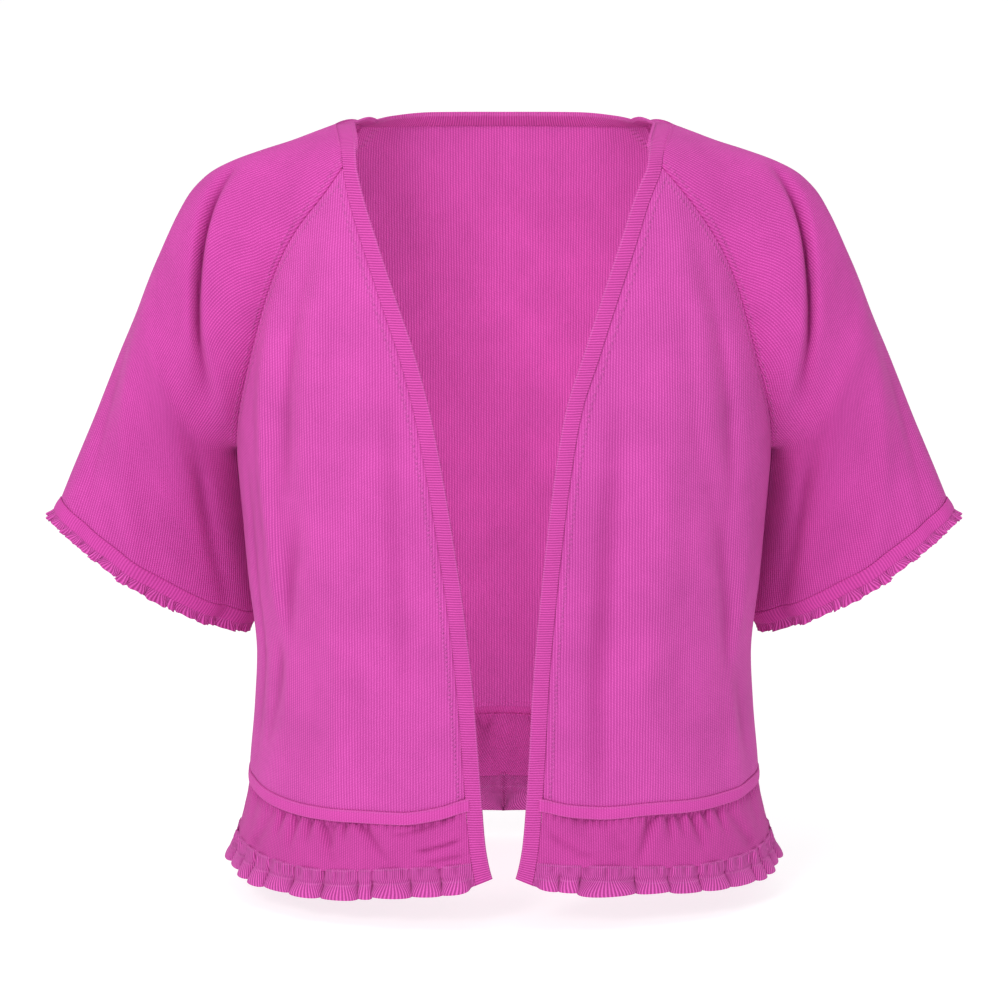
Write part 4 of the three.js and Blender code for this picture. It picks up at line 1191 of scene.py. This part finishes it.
def frill_swell(u, down):
    """A tiny frill whose lobes curl out and ripple, uneven along its length."""
    i, share, width = lobe_at(FRILL_VALLEYS, u)
    edge = ease(min(u, 1 - u) / 0.02)
    full = ease(down * 1.1)
    height = 3.4 * (0.8 + 0.3 * math.sin(1.9 * i))
    ripple = 0.7 * math.sin(2 * math.pi * share * 3 + i) * down
    rise = ((lobe(share) - 0.5) * height * mix(0.35, 1, full) + ripple + 1.8 * down * down) * edge
    shift = -0.16 * width * math.sin(2 * math.pi * share) * full
    return rise - 0.4 * (1 - down), shift * edge, (0.5 * lobe(share) + 0.6 * math.sin(2.7 * i)) * full * edge


def cuff_frill(side):
    return cuff_strip(f"cuff_frill_{side}", side, CUFF_BAND - 0.8, CUFF_FRILL + 0.8, 680, frill_swell, 1.5)


# Operators

class JACKET_OT_panels(bpy.types.Operator):
    """Knit the two fronts and the back"""
    bl_idname = "jacket.panels"
    bl_label = "Fronts and back"

    def execute(self, context):
        for side in SIDES:
            piece = front_panel(side)
            give_wall(piece, settings().panel_wall)
            finish_piece(piece, cloth_material("plain_cotton_knit"), f"front_panel_{side}")
        piece = back_panel()
        give_wall(piece, settings().panel_wall)
        finish_piece(piece, cloth_material("plain_cotton_knit"), "back_panel")
        return {"FINISHED"}


class JACKET_OT_sleeves(bpy.types.Operator):
    """Knit the two raglan sleeves"""
    bl_idname = "jacket.sleeves"
    bl_label = "Sleeves"

    def execute(self, context):
        for side in SIDES:
            piece = sleeve(side)
            give_wall(piece, settings().panel_wall)
            finish_piece(piece, cloth_material("sleeve_cotton_knit"), f"sleeve_{side}")
        return {"FINISHED"}


class JACKET_OT_front_bands(bpy.types.Operator):
    """Knit the rib band of the front edges and the back neck"""
    bl_idname = "jacket.front_bands"
    bl_label = "Front and neck band"

    def execute(self, context):
        for side in SIDES:
            piece = front_band(side)
            give_wall(piece, settings().band_wall)
            finish_piece(piece, cloth_material("band_cotton_rib"), f"front_band_{side}")
        return {"FINISHED"}


class JACKET_OT_waist(bpy.types.Operator):
    """Knit the waist band and the gathered peplum below it"""
    bl_idname = "jacket.waist"
    bl_label = "Waist band and peplum"

    def execute(self, context):
        for side in ("back",) + SIDES:
            piece = waist_band(side)
            give_wall(piece, settings().band_wall)
            finish_piece(piece, cloth_material("waist_cotton_knit"), f"waist_band_{side}")
            piece = peplum(side)
            give_wall(piece, settings().panel_wall)
            finish_piece(piece, cloth_material("gathered_cotton_knit"), f"peplum_{side}")
        return {"FINISHED"}


class JACKET_OT_ruffle(bpy.types.Operator):
    """Knit the ribbed ruffle round the hem"""
    bl_idname = "jacket.ruffle"
    bl_label = "Hem ruffle"

    def execute(self, context):
        for side in ("back",) + SIDES:
            piece = ruffle(side)
            give_wall(piece, settings().frill_wall)
            finish_piece(piece, cloth_material("ruffle_cotton_rib"), f"ruffle_{side}")
        return {"FINISHED"}


class JACKET_OT_cuffs(bpy.types.Operator):
    """Knit the cuff bands and their frills"""
    bl_idname = "jacket.cuffs"
    bl_label = "Cuffs"

    def execute(self, context):
        for side in SIDES:
            piece = cuff_band(side)
            give_wall(piece, settings().band_wall)
            finish_piece(piece, cloth_material("cuff_cotton_rib"), f"cuff_band_{side}")
            piece = cuff_frill(side)
            give_wall(piece, settings().frill_wall)
            finish_piece(piece, cloth_material("frill_cotton_rib"), f"cuff_frill_{side}")
        return {"FINISHED"}


FLOOR_Z = -0.578
CAMERA_FOCAL = 144.64  # millimetres on a 36 mm sensor
CAMERA_TILT = 9.25  # degrees down
# Soft boxes: place and aim in metres, size in metres and power in watts
SOFT_BOXES = Table(("name", "x", "y", "z", "aim_x", "aim_z", "size", "power"), [
    ("key_soft_box", -1.3, -2.7, 1.4, 0.0, -0.2, 1.1, 47),
    ("fill_soft_box", 0.9, -3.2, 0.35, 0.0, -0.3, 1.5, 9),
    ("top_soft_box", -0.1, -0.4, 1.9, 0.0, -0.1, 1.2, 10),
])


FLOOR_GLOW = 0.76
WORLD_LIGHT = 0.68
# The light inside the jacket, which only the back's inner face gets: its place, size and power
INNER_LIGHT = {"at": (0.0, -0.07, -0.27), "width": 0.16, "height": 0.4, "power": 0.37}


def white_table():
    """Matt white acrylic, lit a little from below."""
    material = bpy.data.materials.new("white_acrylic_table")
    material.use_nodes = True
    tree = material.node_tree
    tree.nodes.clear()
    shader = add_node(tree, "ShaderNodeBsdfPrincipled", {
        "Base Color": linear("#A0A0A0"), "Roughness": 0.9, "Specular IOR Level": 0.1,
        "Emission Color": linear("#FFFFFF"), "Emission Strength": FLOOR_GLOW})
    add_node(tree, "ShaderNodeOutputMaterial", None, {"Surface": (shader, 0)})
    return material


class JACKET_OT_stage(bpy.types.Operator):
    """Set the pale floor, the soft boxes and the camera"""
    bl_idname = "jacket.stage"
    bl_label = "Stage"

    def execute(self, context):
        mesh = bmesh.new()
        bmesh.ops.create_grid(mesh, x_segments=1, y_segments=1, size=30)
        bmesh.ops.translate(mesh, verts=mesh.verts, vec=(0, 0, FLOOR_Z))
        data = bpy.data.meshes.new("floor")
        mesh.to_mesh(data)
        mesh.free()
        floor = bpy.data.objects.new("floor", data)
        floor.data.materials.append(white_table())
        context.scene.collection.objects.link(floor)
        world = bpy.data.worlds.new("white_studio")
        world.use_nodes = True
        world.node_tree.nodes["Background"].inputs["Color"].default_value = (1, 1, 1, 1)
        world.node_tree.nodes["Background"].inputs["Strength"].default_value = WORLD_LIGHT
        context.scene.world = world
        for row in SOFT_BOXES.rows:
            light = bpy.data.lights.new(row["name"], "AREA")
            light.shape = "DISK"
            light.size = row["size"]
            light.energy = row["power"]
            lamp = bpy.data.objects.new(row["name"], light)
            lamp.location = (row["x"], row["y"], row["z"])
            aim = Vector((row["aim_x"], 0, row["aim_z"])) - lamp.location
            lamp.rotation_euler = aim.to_track_quat("-Z", "Y").to_euler()
            context.scene.collection.objects.link(lamp)
        light = bpy.data.lights.new("inner_soft_box", "AREA")
        light.shape = "RECTANGLE"
        light.size, light.size_y = INNER_LIGHT["width"], INNER_LIGHT["height"]
        light.energy = INNER_LIGHT["power"]
        lamp = bpy.data.objects.new("inner_soft_box", light)
        lamp.location = INNER_LIGHT["at"]
        lamp.rotation_euler = (math.radians(90), 0, 0)
        lamp.visible_camera = False
        context.scene.collection.objects.link(lamp)
        lens = bpy.data.cameras.new("camera")
        lens.lens = CAMERA_FOCAL
        lens.sensor_width = 36
        camera = bpy.data.objects.new("camera", lens)
        camera.location = (0, -3.0, 0.2)
        camera.rotation_euler = (math.radians(90 - CAMERA_TILT), 0, 0)
        context.scene.collection.objects.link(camera)
        context.scene.camera = camera
        context.scene.view_settings.view_transform = "Standard"
        return {"FINISHED"}


class JACKET_PT_sidebar(bpy.types.Panel):
    """Lists the jacket's settings and its steps"""
    bl_idname = "JACKET_PT_sidebar"
    bl_label = "Knit Jacket"
    bl_space_type = "VIEW_3D"
    bl_region_type = "UI"
    bl_category = "Jacket"

    def draw(self, context):
        for name in JacketSettings.__annotations__:
            self.layout.prop(context.scene.knit_jacket, name)
        for operator in OPERATORS:
            self.layout.operator(operator.bl_idname)


OPERATORS = (JACKET_OT_panels, JACKET_OT_sleeves, JACKET_OT_front_bands, JACKET_OT_waist, JACKET_OT_ruffle,
             JACKET_OT_cuffs, JACKET_OT_stage)
CLASSES = (JacketSettings,) + OPERATORS + (JACKET_PT_sidebar,)


def register():
    for cls in CLASSES:
        bpy.utils.register_class(cls)
    bpy.types.Scene.knit_jacket = bpy.props.PointerProperty(type=JacketSettings)


def unregister():
    del bpy.types.Scene.knit_jacket
    for cls in reversed(CLASSES):
        bpy.utils.unregister_class(cls)


def main():
    register()
    bpy.ops.jacket.panels()
    bpy.ops.jacket.sleeves()
    bpy.ops.jacket.front_bands()
    bpy.ops.jacket.waist()
    bpy.ops.jacket.ruffle()
    bpy.ops.jacket.cuffs()
    bpy.ops.jacket.stage()


if __name__ == "__main__":
    main()
